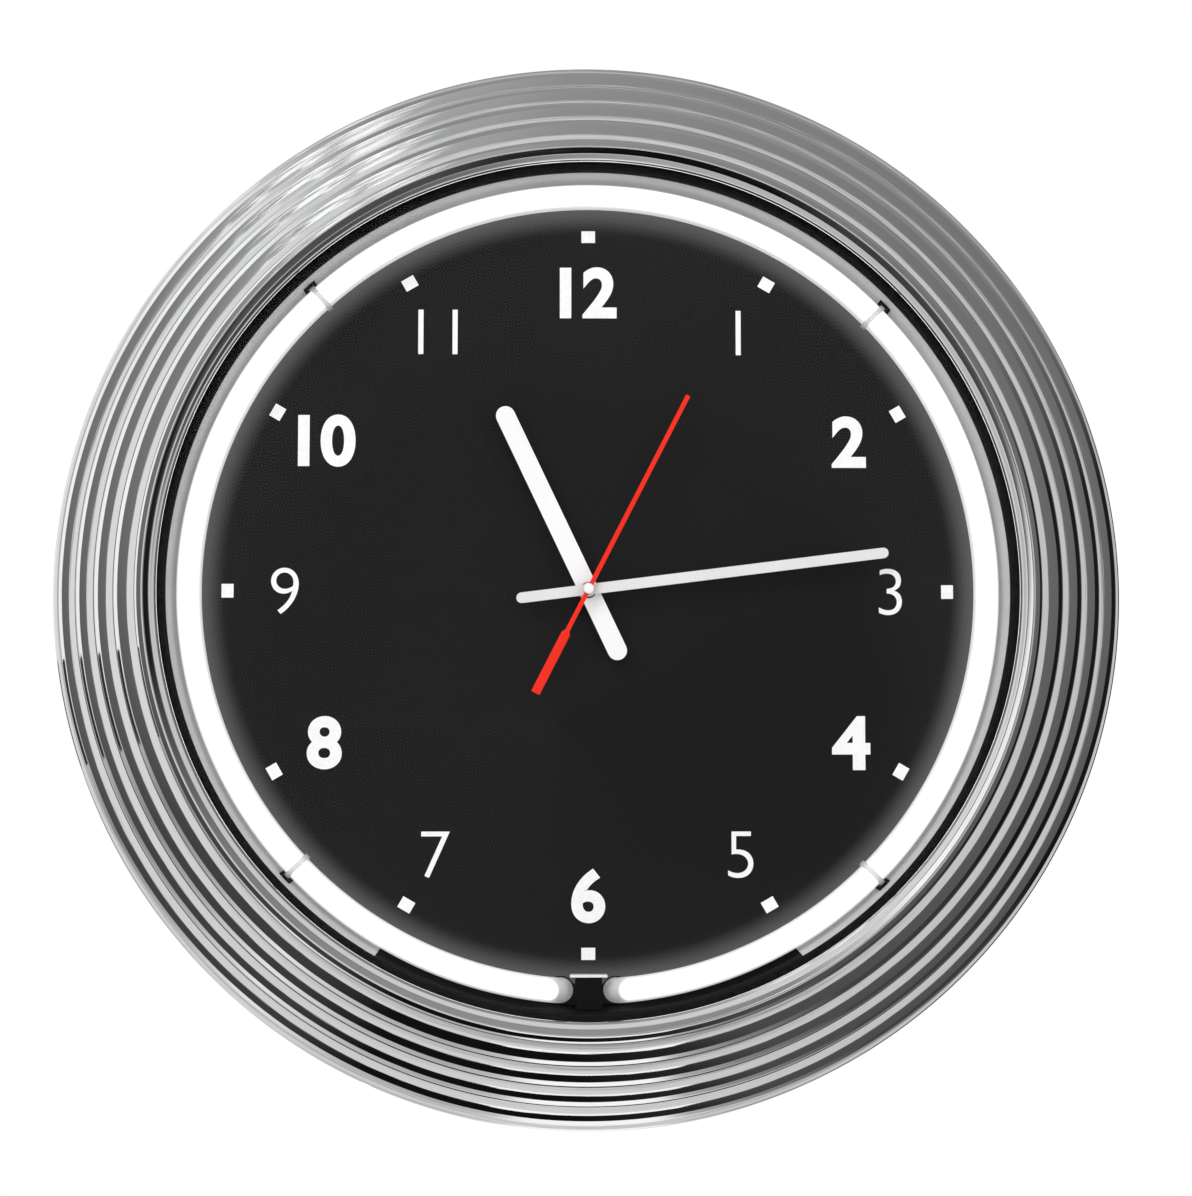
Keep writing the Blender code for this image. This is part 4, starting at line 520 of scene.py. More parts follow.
def make_chrome():
    """Bright plating with fine turned streaks, and painted shade: dark lines painted along the
    grooves between the ribs.
    """
    made, tree, shader = new_finish("chrome", (0.90, 0.91, 0.92), 0.05, metallic=1.0)
    streaks = effect(tree, ring_streaks, Around=4.0, Across=900.0)["Streaks"]
    mottle = effect(tree, grain, Fine=1500.0, Slow=35.0)["Mottle"]
    settled = effect(tree, dust, Amount=0.06, Patches=90.0)["Dust"]
    x, y, z, far = from_middle(tree)
    # Painted shade: the colour goes near black in a thin line along each valley, standing in for
    # the shade in the grooves.
    groove_shade = None
    for radius, _ in VALLEYS:
        beside = sum_node(tree, "ABSOLUTE", sum_node(tree, "SUBTRACT", far, radius))
        here = spread(tree, beside, 0.00004, 0.00022, 1.0, 0.0)
        groove_shade = here if groove_shade is None else sum_node(tree, "MAXIMUM", groove_shade, here)
    front = sum_node(tree, "LESS_THAN", y, -GROOVE_SHADE_DEPTH)
    patchy = spread(tree, streaks, 0.30, 0.60, 0.10, 0.45)
    groove_shade = times(tree, times(tree, groove_shade, front), patchy)
    polish = spread(tree, streaks, 0.40, 0.80, 0.03, 0.10)
    polish = sum_node(tree, "ADD", polish, times(tree, settled, 0.4))
    polish = sum_node(tree, "ADD", polish, times(tree, groove_shade, 0.25))
    tree.links.new(polish, shader.inputs["Roughness"])
    bright = colours(tree, mottle, (0.86, 0.87, 0.88), (0.95, 0.95, 0.96))
    bright = colours(tree, settled, bright, (0.60, 0.60, 0.59))
    bright = colours(tree, groove_shade, bright, (0.030, 0.030, 0.030))
    tree.links.new(bright, shader.inputs["Base Color"])
    calm = spread(tree, far, CREST[0], CALM_RADIUS, 0.0, 1.0)
    relief(tree, shader, times(tree, streaks, calm), 0.000022)
    return made


def make_moulded(name, colour, roughness, pale, dusty=0.15, fine=1800.0, specular=0.5, rub=0.6):
    """Moulded plastic or rubber, with grain, rubbed corners and dust."""
    made, tree, shader = new_finish(name, colour, roughness, specular=specular)
    skin = effect(tree, grain, Fine=fine, Slow=30.0)
    rubbed = effect(tree, wear, Amount=rub, Breaks=400.0)["Wear"]
    settled = effect(tree, dust, Amount=dusty, Patches=70.0)["Dust"]
    darker = tuple(c * 0.8 for c in colour)
    body = colours(tree, skin["Mottle"], darker, tuple(c * 1.15 for c in colour))
    body = colours(tree, rubbed, body, pale)
    body = colours(tree, settled, body, (0.30, 0.29, 0.27))
    tree.links.new(body, shader.inputs["Base Color"])
    sheen(tree, shader, skin["Mottle"], roughness - 0.06, roughness + 0.08)
    relief(tree, shader, skin["Grain"], 0.00006, 0.6)
    return made


def make_metal(name, colour, roughness, dull, fine=900.0):
    """Plain metal parts: a brushed sheen with duller patches."""
    made, tree, shader = new_finish(name, colour, roughness, metallic=1.0)
    skin = effect(tree, grain, Fine=fine, Slow=120.0)
    rubbed = effect(tree, wear, Amount=0.1, Breaks=600.0)["Wear"]
    body = colours(tree, skin["Mottle"], dull, colour)
    body = colours(tree, rubbed, body, tuple(min(1, c * 1.2) for c in colour))
    tree.links.new(body, shader.inputs["Base Color"])
    sheen(tree, shader, skin["Mottle"], roughness + 0.12, roughness)
    relief(tree, shader, skin["Grain"], 0.00002, 0.5)
    return made


def make_battery_jacket():
    """Plain grey sleeve with a paler band at the plus end, over bright metal ends."""
    made, tree, shader = new_finish("battery_jacket", (0.10, 0.11, 0.12), 0.26)
    x = from_middle(tree)[0]
    mottle = effect(tree, grain, Fine=1500.0, Slow=60.0)["Mottle"]
    sleeve = colours(tree, mottle, (0.085, 0.092, 0.10), (0.115, 0.122, 0.13))
    band = sum_node(tree, "GREATER_THAN", x, 0.0120)
    sleeve = colours(tree, band, sleeve, (0.34, 0.35, 0.36))
    bare = sum_node(tree, "GREATER_THAN", sum_node(tree, "ABSOLUTE", x), 0.0233)
    sleeve = colours(tree, bare, sleeve, (0.62, 0.62, 0.63))
    tree.links.new(sleeve, shader.inputs["Base Color"])
    tree.links.new(bare, shader.inputs["Metallic"])
    return made


def make_glow_tube():
    """Coated glass tube: a lit core that stops short of both ends, inside a dimmer wall."""
    made, tree, shader = new_finish("lit_tube", (0.55, 0.55, 0.55), 0.16)
    x, y, z, far = from_middle(tree)
    aside = sum_node(tree, "ABSOLUTE", x)
    past = sum_node(tree, "MAXIMUM", sum_node(tree, "SUBTRACT", LIT_END, aside), 0.0)
    past = times(tree, past, sum_node(tree, "LESS_THAN", z, 0.0))
    across = sum_node(tree, "SUBTRACT", far, TUBE_CIRCLE)
    off = sum_node(tree, "ADD", times(tree, past, past), times(tree, across, across))
    core = spread(tree, sum_node(tree, "SQRT", off), 0.0029, 0.0048, 1.0, 0.0)
    front = sum_node(tree, "LESS_THAN", y, -0.050)
    core = times(tree, core, front)
    cloudy = effect(tree, grain, Fine=300.0, Slow=18.0)["Mottle"]
    white = colours(tree, cloudy, (1.25, 1.27, 1.30), (1.34, 1.32, 1.30))
    halo = times(tree, spread(tree, past, 0.0, 0.0050, 0.46, 0.20), front)
    dim = tree.nodes.new("ShaderNodeCombineXYZ")
    for socket in dim.inputs:
        tree.links.new(halo, socket)
    tree.links.new(colours(tree, core, dim.outputs[0], white), shader.inputs["Emission Color"])
    shader.inputs["Emission Strength"].default_value = 1.0
    glass = colours(tree, cloudy, (0.42, 0.42, 0.42), (0.54, 0.54, 0.54))
    tree.links.new(glass, shader.inputs["Base Color"])
    return made


def make_dial_black():
    """Matt black print, with painted light: a glow painted into its emission towards the edge,
    standing in for the tube's light falling on it.
    """
    made, tree, shader = new_finish("dial_black", (0.010, 0.010, 0.010), 0.6, specular=0.15)
    skin = effect(tree, grain, Fine=3000.0, Slow=14.0)
    body = colours(tree, skin["Mottle"], (0.0090, 0.0090, 0.0092), (0.0115, 0.0115, 0.0115))
    tree.links.new(body, shader.inputs["Base Color"])
    # Painted light: the emission rises towards the edge, where the tube's light would fall.
    far = from_middle(tree)[3]
    near = spread(tree, far, 0.1440, 0.1550, 0.0, 1.0)
    painted_glow = colours(tree, near, (0.0, 0.0, 0.0), (0.085, 0.085, 0.086))
    tree.links.new(painted_glow, shader.inputs["Emission Color"])
    shader.inputs["Emission Strength"].default_value = 1.0
    sheen(tree, shader, skin["Mottle"], 0.55, 0.68)
    relief(tree, shader, skin["Grain"], 0.00002, 0.5)
    return made


def make_paint(name, colour, shade, roughness=0.35):
    """Smooth paint or print, with a faint unevenness."""
    made, tree, shader = new_finish(name, colour, roughness, specular=0.25)
    skin = effect(tree, grain, Fine=1400.0, Slow=40.0)
    rubbed = effect(tree, wear, Amount=0.25, Breaks=500.0)["Wear"]
    body = colours(tree, skin["Mottle"], shade, colour)
    body = colours(tree, rubbed, body, tuple(c * 0.8 for c in shade))
    tree.links.new(body, shader.inputs["Base Color"])
    sheen(tree, shader, skin["Mottle"], roughness - 0.06, roughness + 0.08)
    relief(tree, shader, skin["Grain"], 0.00002, 0.4)
    return made


def make_front_glass():
    """Thin flat pane: light goes straight through, and it mirrors more where seen at a slant."""
    made, tree, shader = new_finish("pane", (1.0, 1.0, 1.0), 0.01, metallic=1.0)
    slant = tree.nodes.new("ShaderNodeLayerWeight")
    slant.inputs["Blend"].default_value = 0.5
    steep = sum_node(tree, "POWER", slant.outputs["Facing"], 5.0)
    mirrored = sum_node(tree, "ADD", times(tree, steep, 0.80), 0.004)
    smears = effect(tree, grain, Fine=600.0, Slow=9.0)["Mottle"]
    uneven = spread(tree, smears, 0.35, 0.75, 0.85, 1.15)
    mirrored = sum_node(tree, "MULTIPLY", mirrored, uneven, True)
    tree.links.new(mirrored, shader.inputs["Alpha"])
    tree.links.new(spread(tree, smears, 0.4, 0.8, 0.0, 0.03), shader.inputs["Roughness"])
    return made


def make_clear_strap():
    """Cloudy clear nylon."""
    made, tree, shader = new_finish("clear_strap", (0.86, 0.86, 0.85), 0.22)
    shader.inputs["Transmission Weight"].default_value = 0.45
    shader.inputs["IOR"].default_value = 1.5
    skin = effect(tree, grain, Fine=1500.0, Slow=200.0)
    body = colours(tree, skin["Mottle"], (0.74, 0.74, 0.73), (0.92, 0.92, 0.92))
    tree.links.new(body, shader.inputs["Base Color"])
    relief(tree, shader, skin["Grain"], 0.00003, 0.5)
    return made


chrome = make_chrome()
lit_tube = make_glow_tube()
dial_black = make_dial_black()
pane = make_front_glass()
clear_strap = make_clear_strap()
dial_print = make_paint("dial_print", (0.98, 0.98, 0.98), (0.95, 0.95, 0.95), 0.5)
hand_white = make_paint("hand_white", (0.97, 0.97, 0.97), (0.92, 0.92, 0.92), 0.32)
# A darker copy of the white hand paint for the minute hand: painted shade, not a paint of its own.
hand_white_shaded = make_paint("hand_white_shaded", (0.84, 0.84, 0.84), (0.72, 0.72, 0.72), 0.32)
hand_red = make_paint("hand_red", (0.94, 0.022, 0.003), (0.86, 0.018, 0.002), 0.35)
reflector_grey = make_moulded("reflector_grey", (0.46, 0.46, 0.46), 0.38, (0.62, 0.62, 0.62), 0.1)
black_plastic = make_moulded(
    "black_plastic", (0.012, 0.012, 0.013), 0.38, (0.06, 0.06, 0.06), 0.1, rub=0.0
)
pan_black = make_moulded(
    "pan_black", (0.020, 0.020, 0.021), 0.46, (0.07, 0.07, 0.07), 0.12, 1100.0, rub=0.0
)
rubber_black = make_moulded(
    "rubber_black", (0.007, 0.007, 0.007), 0.66, (0.02, 0.02, 0.02), 0.0, specular=0.06
)
cover_black = make_moulded(
    "cover_black", (0.006, 0.006, 0.006), 0.55, (0.02, 0.02, 0.02), 0.0, specular=0.06, rub=0.0
)
switch_gloss = make_moulded("switch_gloss", (0.010, 0.010, 0.011), 0.20, (0.04, 0.04, 0.04))
clear_case = make_moulded(
    "clear_case", (0.055, 0.055, 0.058), 0.30, (0.15, 0.15, 0.15), rub=0.0
)
wheel_plastic = make_moulded("wheel_plastic", (0.72, 0.71, 0.66), 0.40, (0.85, 0.85, 0.82), 0.05)
board_green = make_moulded("board_green", (0.018, 0.10, 0.035), 0.35, (0.10, 0.20, 0.12), 0.05)
battery_jacket = make_battery_jacket()
steel = make_metal("steel", (0.62, 0.62, 0.63), 0.26, (0.46, 0.46, 0.47))
brass = make_metal("brass", (0.80, 0.62, 0.30), 0.26, (0.62, 0.45, 0.20))
copper = make_metal("copper", (0.78, 0.36, 0.20), 0.34, (0.55, 0.22, 0.11), 2600.0)

FINISHES = {
    "chrome": chrome,
    "clear_glass": pane,
    "black_rubber": rubber_black,
    "reflector_grey": reflector_grey,
    "black_plastic": black_plastic,
    "pan_black": pan_black,
    "switch_gloss": switch_gloss,
    "tube_glass": lit_tube,
    "clear_plastic": clear_case,
    "dial_black": dial_black,
    "steel": steel,
    "brass": brass,
    "copper": copper,
    "wheel_plastic": wheel_plastic,
    "board_green": board_green,
    "battery_jacket": battery_jacket,
    "lead_sleeve": rubber_black,
    "hand_white": hand_white,
    "hand_red": hand_red,
    "cap_white": hand_white,
}


def finish_cad_nodes():
    """Every node that stays gets the finish of its slot."""
    for row in frame["record"]["subparts"]:
        finish = FINISHES[row["material_slot"]]
        if row["node"] in ("shaft_nut", "shaft_washer"):
            finish = dial_black
        for place in frame["nodes"][row["node"]].material_slots:
            place.material = finish


# Chromed ring


def rib_points(valley, top, square=2.0, steps=18):
    """A quarter oval, flat at its top and steep at the valley; above 2 it gets squarer."""
    across, drop = valley[0] - top[0], top[1] - valley[1]
    points = []
    for k in range(1, steps + 1):
        a = math.radians(RIB_FOOT + (90 - RIB_FOOT) * k / steps)
        out = across * max(0.0, math.cos(a)) ** (2 / square)
        points.append((top[0] + out, top[1] - drop * (1 - math.sin(a) ** (2 / square))))
    return points


def make_ribbed_ring():
    edge = 0.0005
    section = [
        (RIM_RADIUS - RING_WALL, RIM_BACK),
        (RIM_RADIUS - edge, RIM_BACK),
        (RIM_RADIUS - edge * 0.3, RIM_BACK + edge * 0.3),
        (RIM_RADIUS, RIM_BACK + edge),
        (0.2127, 0.0534),
        (0.2125, 0.0538),
        (0.2122, 0.0540),
        VALLEYS[0],
    ]
    for outer, inner in zip(VALLEYS, VALLEYS[1:]):
        fall = (inner[1] - outer[1]) / (outer[0] - inner[0])
        square = 2 + max(0.0, 2 * (fall - 0.45))
        land = LAND - 0.0008 * (square - 2)
        section += rib_points(outer, (inner[0] + land, inner[1]), square)
        section.append(inner)
    section += rib_points(VALLEYS[-1], CREST)
    section += [
        (0.17400, 0.07967),
        (0.17382, 0.07958),
        (0.17366, 0.07945),
        (0.17210, 0.07789),
        (0.17195, 0.07778),
        (0.17175, 0.07771),
        (0.17110, 0.07755),
        (0.17030, 0.07735),
        (0.16965, 0.07718),
        (0.16925, 0.07697),
        (0.16903, 0.07660),
        (0.16895, 0.07600),
        (0.16895, 0.07440),
        (0.16905, 0.07360),
        (0.16935, 0.07320),
        (0.17310, 0.07320),
        (0.17310, 0.05800),
        (0.17560, 0.05800),
        (0.17560, 0.07400),
        (0.18025, 0.07480),
        (0.18805, 0.07130),
        (0.19541, 0.06590),
        (0.20264, 0.05890),
        (0.21065, 0.05150),
    ]
    ring = spin_section("ribbed_ring", section, 288)
    notch = block("notch", (-0.0021, 0.2090, 0.0310), (0.0021, 0.2180, 0.0420))
    cut(ring, carry_round(notch, NOTCH_ANGLE))
    return finish_piece(ring, "clock_body", chrome, "chrome", "chrome_ring", smooth=30)


# Tube and its surround


def make_gasket():
    section = [
        (0.1664, 0.0679),
        (0.1667, 0.0676),
        (0.1721, 0.0676),
        (0.1721, 0.0701),
        (0.1672, 0.0701),
        (0.1664, 0.0695),
    ]
    ring = spin_section("gasket_ring", section, 240)
    return finish_piece(ring, "clock_body", rubber_black, "black_rubber", "glass_gasket")


def wall_section(foot, top):
    under = WALL_TOP - 0.0013
    return [
        (foot, WALL_FOOT),
        (foot + (top - foot) * 0.35, WALL_FOOT + 0.0065),
        (top - 0.0004, WALL_TOP - 0.0008),
        (top + 0.0003, WALL_TOP),
        (FLANGE_RADIUS, WALL_TOP),
        (FLANGE_RADIUS, under),
        (top + 0.0010, under),
        (foot + 0.0010, WALL_FOOT),
    ]


def make_reflector():
    section = wall_section(WALL_FOOT_RADIUS, WALL_TOP_RADIUS)
    band = spin_section("reflector_band", section, 200, 210.1, 299.8)
    half = SUPPORT_WIDTH / 2 + PLAY
    for angle in SUPPORT_ANGLES:
        slot = block("slot", (-half, 0.1561, 0.0448), (half, 0.1741, 0.0627))
        cut(band, carry_round(slot, angle))
    return finish_piece(band, "clock_body", reflector_grey, "reflector_grey", "reflector_wall")


def make_end_cover():
    """Black arc round the tube's ends, with the divider between them and its pale edge."""
    arc = spin_section("end_cover", wall_section(0.1639, WALL_TOP_RADIUS), 48, 150.0, 60.0)
    half = 0.0052
    stem = block("stem", (-half, -0.1651, WALL_FOOT), (half, -0.1558, 0.0620))
    bridge = block("bridge", (-half, -0.1564, 0.0523), (half, -0.1524, 0.0620))
    join(arc, stem, bridge)
    soften(arc, 0.0003)
    finish_piece(arc, "clock_body", cover_black, "black_plastic", "electrode_cover", flats=True)
    head = block("divider_head", (-0.0073, -0.1526, 0.0523), (0.0073, -0.1516, 0.0630))
    soften(head, 0.00015)
    finish_piece(head, "clock_body", hand_white, "black_plastic")


def make_tube():
    """The tube's line drawn point by point, then given its round section."""
    corner_depth = TUBE_DEPTH - TUBE_BEND
    straight, bend_steps, round_steps = 0.004, 10, 220
    legs = []
    for side in (1, -1):
        angle = 180.0 + side * TUBE_TURN_AWAY
        turn = math.radians(angle)
        corner = spot(TUBE_CIRCLE, angle, 0.0)
        along = Vector((math.cos(turn), 0, -math.sin(turn))) * -side
        leg = [corner + along * TUBE_BEND + FACING * TUBE_FOOT]
        leg.append(leg[0] + FACING * straight)
        for k in range(bend_steps + 1):
            a = math.radians(90 * k / bend_steps)
            out = corner_depth + TUBE_BEND * math.sin(a)
            leg.append(corner + along * (TUBE_BEND * math.cos(a)) + FACING * out)
        legs.append(leg)
    start, sweep = 180.0 + TUBE_TURN_AWAY, 360.0 - 2 * TUBE_TURN_AWAY
    angles = [start + sweep * k / round_steps for k in range(1, round_steps)]
    route = legs[0] + [spot(TUBE_CIRCLE, angle, TUBE_DEPTH) for angle in angles] + legs[1][::-1]
    curve = bpy.data.curves.new("neon_glass", "CURVE")
    curve.dimensions = "3D"
    curve.bevel_depth = TUBE_RADIUS
    curve.bevel_resolution = 8
    curve.use_fill_caps = True
    spline = curve.splines.new("POLY")
    spline.points.add(len(route) - 1)
    for point, place in zip(spline.points, route):
        point.co = (*place, 1.0)
    tube = bpy.data.objects.new("neon_glass", curve)
    bpy.context.scene.collection.objects.link(tube)
    take_up(tube)
    bpy.ops.object.convert(target="MESH")
    tube = named("neon_glass")
    shape(tube)
    close_up()
    return finish_piece(tube, "clock_body", lit_tube, "tube_glass", "neon_tube")


def make_supports():
    """One fork and one strap made at 12 o'clock, then a copy at each support's angle."""
    half = SUPPORT_WIDTH / 2
    fork = block("fork", (-half, 0.1561, WALL_FOOT), (half, 0.1710, 0.0490))
    post = block("post", (-half, 0.1672, WALL_FOOT), (half, 0.1710, 0.0624))
    saddle = block("saddle", (-half, 0.1566, WALL_FOOT), (half, 0.1596, 0.0552))
    join(fork, post, saddle)
    for side in (-1, 1):
        outline = [
            (side * half, 0.1678),
            (side * (half - 0.0008), 0.1634),
            (side * (half - 0.0012), 0.1634),
            (side * half / 3, 0.1678),
        ]
        join(fork, slab("prong", outline, 0.0592, 0.0618))
    soften(fork, 0.00025)
    strap = make_strap()
    for number, angle in enumerate(SUPPORT_ANGLES, 1):
        one = carry_round(another(fork, f"tube_fork_{number}"), angle)
        node = f"tube_support_{number}"
        finish_piece(one, "clock_body", black_plastic, "black_plastic", node, flats=True)
        one = carry_round(another(strap, f"tube_strap_{number}"), angle)
        node = f"tube_tie_{number}"
        finish_piece(one, "clock_body", clear_strap, "clear_plastic", node)
    for made in (fork, strap):
        bpy.data.objects.remove(made)


def make_strap():
    """A clear strap bent over the tube and down both its sides."""
    inner, outer = TUBE_RADIUS + 0.0004, TUBE_RADIUS + 0.0011
    half, reach, steps = 0.0011, 118, 24
    places = []
    for radius, way in ((inner, 1), (outer, -1)):
        for k in range(steps + 1):
            a = math.radians(way * (2 * k / steps - 1) * reach)
            out, up = TUBE_DEPTH + radius * math.cos(a), TUBE_CIRCLE + radius * math.sin(a)
            places.append(MIDDLE + Vector((-half, -out, up)))
    strap = trace("strap", places)
    bpy.ops.mesh.edge_face_add()
    across = {"value": (2 * half, 0.0, 0.0)}
    bpy.ops.mesh.extrude_region_move(TRANSFORM_OT_translate=across)
    close_up()
    return soften(strap, 0.0002)


# Dial


def make_dial():
    edge = 0.0003
    section = [
        (DIAL_BORE, DIAL_BACK),
        (DIAL_RADIUS, DIAL_BACK),
        (DIAL_RADIUS, DIAL_FRONT - edge),
        (DIAL_RADIUS - edge, DIAL_FRONT),
        (DIAL_BORE, DIAL_FRONT),
    ]
    face = spin_section("dial_face", section, 240)
    for side in (-1, 1):
        at = (side * TUBE_LEG_ASIDE, TUBE_LEG_UP)
        cut(face, peg("leg", TUBE_RADIUS + 0.0006, 0.0490, 0.0530, at, 40))
    finish_piece(face, "clock_body", dial_black, "dial_black", "dial_plate")
    make_hour_marks()
    for number in (1, 2, 3, 5, 6, 7, 8, 9, 10, 11, 12):
        make_numeral(number)
    make_four()


def make_hour_marks():
    half = 0.00275
    mark = block("mark", (-half, 0.1414, DIAL_FRONT), (half, 0.1462, DIAL_FRONT + PRINT))
    soften(mark, 0.00002, 1)
    for hour in range(1, 13):
        one = carry_round(another(mark, f"hour_mark_{hour}"), hour * 30)
        finish_piece(one, "clock_body", dial_print, "hand_white")
    bpy.data.objects.remove(mark)


def make_numeral(number):
    """A plain upright number, heavy for even hours and light for odd ones."""
    heavy = number % 2 == 0
    put_down()
    bpy.ops.object.text_add(rotation=(math.radians(90), 0, 0))
    figure = bpy.context.object
    figure.data.body = str(number)
    figure.data.size = NUMERAL_SIZE
    figure.data.offset = HEAVY_OFFSET if heavy else LIGHT_OFFSET
    figure.data.extrude = PRINT / 2
    figure.data.resolution_u = 8
    bpy.ops.object.convert(target="MESH")
    figure = named(f"numeral_{number}")
    take_up(figure)
    bpy.ops.object.transform_apply(location=True, rotation=True, scale=True)
    corners = [Vector(corner) for corner in figure.bound_box]
    middle = (corners[0] + corners[6]) / 2
    place = spot(NUMERAL_CIRCLE, number * 30, DIAL_FRONT + PRINT / 2)
    figure.location = place - middle
    take_up(figure)
    bpy.ops.object.transform_apply(location=True, rotation=True, scale=True)
    shape(figure)
    bpy.ops.mesh.remove_doubles(threshold=SAME)
    return finish_piece(figure, "clock_body", dial_print, "hand_white")


def make_four():
    """The heavy 4, drawn from listed points so that its counter stays open."""
    outline = [
        (0.00061, -0.01075),
        (0.00562, -0.01075),
        (0.00562, -0.00455),
        (0.00765, -0.00455),
        (0.00765, 0.00005),
        (0.00562, 0.00005),
        (0.00562, 0.01075),
        (0.00235, 0.01075),
        (-0.00765, -0.00190),
        (-0.00765, -0.00455),
        (0.00061, -0.00455),
    ]
    counter = [(-0.00177, 0.00005), (0.00061, 0.00005), (0.00061, 0.00306)]
    place = spot(NUMERAL_CIRCLE, 120, 0.0) - MIDDLE
    outline = [(place.x + x, place.z + up) for x, up in outline]
    counter = [(place.x + x, place.z + up) for x, up in counter]
    figure = slab("numeral_4", outline, DIAL_FRONT, DIAL_FRONT + PRINT)
    cut(figure, slab("counter", counter, DIAL_FRONT - 0.001, DIAL_FRONT + 0.001))
    return finish_piece(figure, "clock_body", dial_print, "hand_white")


# Hands


def bar_outline(length, tail, width, steps=12):
    """A bar with round ends, pointing to 12."""
    half = width / 2
    points = []
    for centre, first in ((length - half, 0), (half - tail, 180)):
        for k in range(steps + 1):
            a = math.radians(first + 180 * k / steps)
            points.append((half * math.cos(a), centre + half * math.sin(a)))
    return points


def make_hand(name, outline, bore, back, angle):
    """A flat blade with its collet, bored for the shaft and turned to its angle."""
    hand = slab(name, outline, back, back + BLADE)
    join(hand, peg("collet", bore + COLLET_WALL, back - BLADE, back + BLADE, sides=40))
    cut(hand, peg("bore", bore, back - 0.0020, back + 0.0020, sides=40))
    soften(hand, 0.00015)
    return carry_round(hand, angle)


def make_hands():
    hour = make_hand("hour_bar", bar_outline(*HOUR_BAR), HOUR_BORE, HOUR_DEPTH, HOUR_ANGLE)
    finish_piece(hour, "hour_work", hand_white, "hand_white", "hour_hand", flats=True)
    outline = bar_outline(*MINUTE_BAR)
    minute = make_hand("minute_bar", outline, MINUTE_BORE, MINUTE_DEPTH, MINUTE_ANGLE)
    # The minute hand takes the darker copy of the white paint: painted shade.
    finish_piece(minute, "minute_work", hand_white_shaded, "hand_white", "minute_hand", flats=True)
    thin, thick = 0.0009, 0.0018
    outline = [
        (thin, 0.0870),
        (-thin, 0.0870),
        (-thin, -0.0187),
        (-thick, -0.0199),
        (-thick, -0.0463),
        (thick, -0.0463),
        (thick, -0.0199),
        (thin, -0.0187),
    ]
    second = make_hand("second_bar", outline, SECOND_BORE, SECOND_DEPTH, SECOND_ANGLE)
    finish_piece(second, "second_work", hand_red, "hand_red", "second_hand", flats=True)
    section = [
        (0, 0.0637),
        (0.0021, 0.0637),
        (0.0021, 0.0647),
        (0.0019, 0.0651),
        (0.0015, 0.0653),
        (0, 0.0653),
    ]
    button = spin_section("hub_button", section, 40, closed=False)
    finish_piece(button, "second_work", hand_white, "cap_white", "second_hand_cap")


# Back


def rod_out(name, radius, low, high, depth, sides=32):
    """A round rod that points outwards at 12 o'clock."""
    put_down()
    bpy.ops.mesh.primitive_cylinder_add(
        radius=radius,
        depth=high - low,
        vertices=sides,
        location=MIDDLE + Vector((0.0, -depth, (low + high) / 2)),
    )
    return named(name)


def rounded_outline(half, low, high, corner, steps=6):
    """A rectangle with round corners, centred on the line to 12 o'clock."""
    points = []
    for number, (side, up) in enumerate(((1, 1), (-1, 1), (-1, -1), (1, -1))):
        centre = (side * (half - corner), (high if up > 0 else low) - up * corner)
        for k in range(steps + 1):
            a = math.radians(90 * (number + k / steps))
            points.append((centre[0] + corner * math.cos(a), centre[1] + corner * math.sin(a)))
    return points


def make_rear_pan():
    """Moulded pan: hub wall, flat back, flared side and flange, with its pillars and openings."""
    section = [
        (0.04550, 0.00060),
        (0.04567, 0.00018),
        (0.04610, 0.00000),
        (0.17300, 0.00000),
        (0.17385, 0.00010),
        (0.17450, 0.00040),
        (0.17510, 0.00085),
        (0.17550, 0.00120),
        (0.17580, 0.00175),
        (0.17600, 0.00240),
        (0.17890, 0.04410),
        (0.17902, 0.04438),
        (0.17930, 0.04450),
        (0.20940, 0.04450),
        (0.20965, 0.04462),
        (0.20975, 0.04490),
        (0.20975, 0.04700),
        (0.17660, 0.04700),
        (0.17350, 0.00250),
        (0.04800, 0.00250),
        (0.04800, 0.04370),
        (0.04550, 0.04370),
    ]
    pan = spin_section("rear_shell", section, 216)
    for angle in SCREW_ANGLES:
        pillar = peg("pillar", 0.0055, 0.0019, 0.0437, (0, PILLAR_CIRCLE))
        pin = peg("pin", 0.0020, 0.0400, 0.0459, (0, PILLAR_CIRCLE))
        join(pan, carry_round(pillar, angle), carry_round(pin, angle))
        cut(pan, carry_round(peg("hole", 0.0018, 0.0430, 0.0490, (0, SCREW_CIRCLE)), angle))
    back, front = -0.0010, 0.0040
    for side in (-1, 1):
        cut(pan, peg("hole", 0.0018, back, front, (side * 0.0475, -0.1020)))
        for up in HANGER_RIVETS:
            cut(pan, peg("hole", 0.0021, back, front, (side * HANGER_SIDE, up)))
    cut(pan, slab("opening", rounded_outline(0.0150, 0.1060, 0.1380, 0.0035), back, front))
    inside, outside = 0.1700, 0.1840
    bore = rod_out("bore", 0.0051, inside, outside, INLET_DEPTH)
    half_deep, half_long = 0.00555, 0.0083
    slot = block(
        "slot",
        (-half_long, inside, SWITCH_DEPTH - half_deep),
        (half_long, outside, SWITCH_DEPTH + half_deep),
    )
    cut(pan, carry_round(bore, NOTCH_ANGLE), carry_round(slot, SWITCH_ANGLE))
    finish_piece(pan, "clock_body", pan_black, "pan_black", "rear_pan", flats=True)


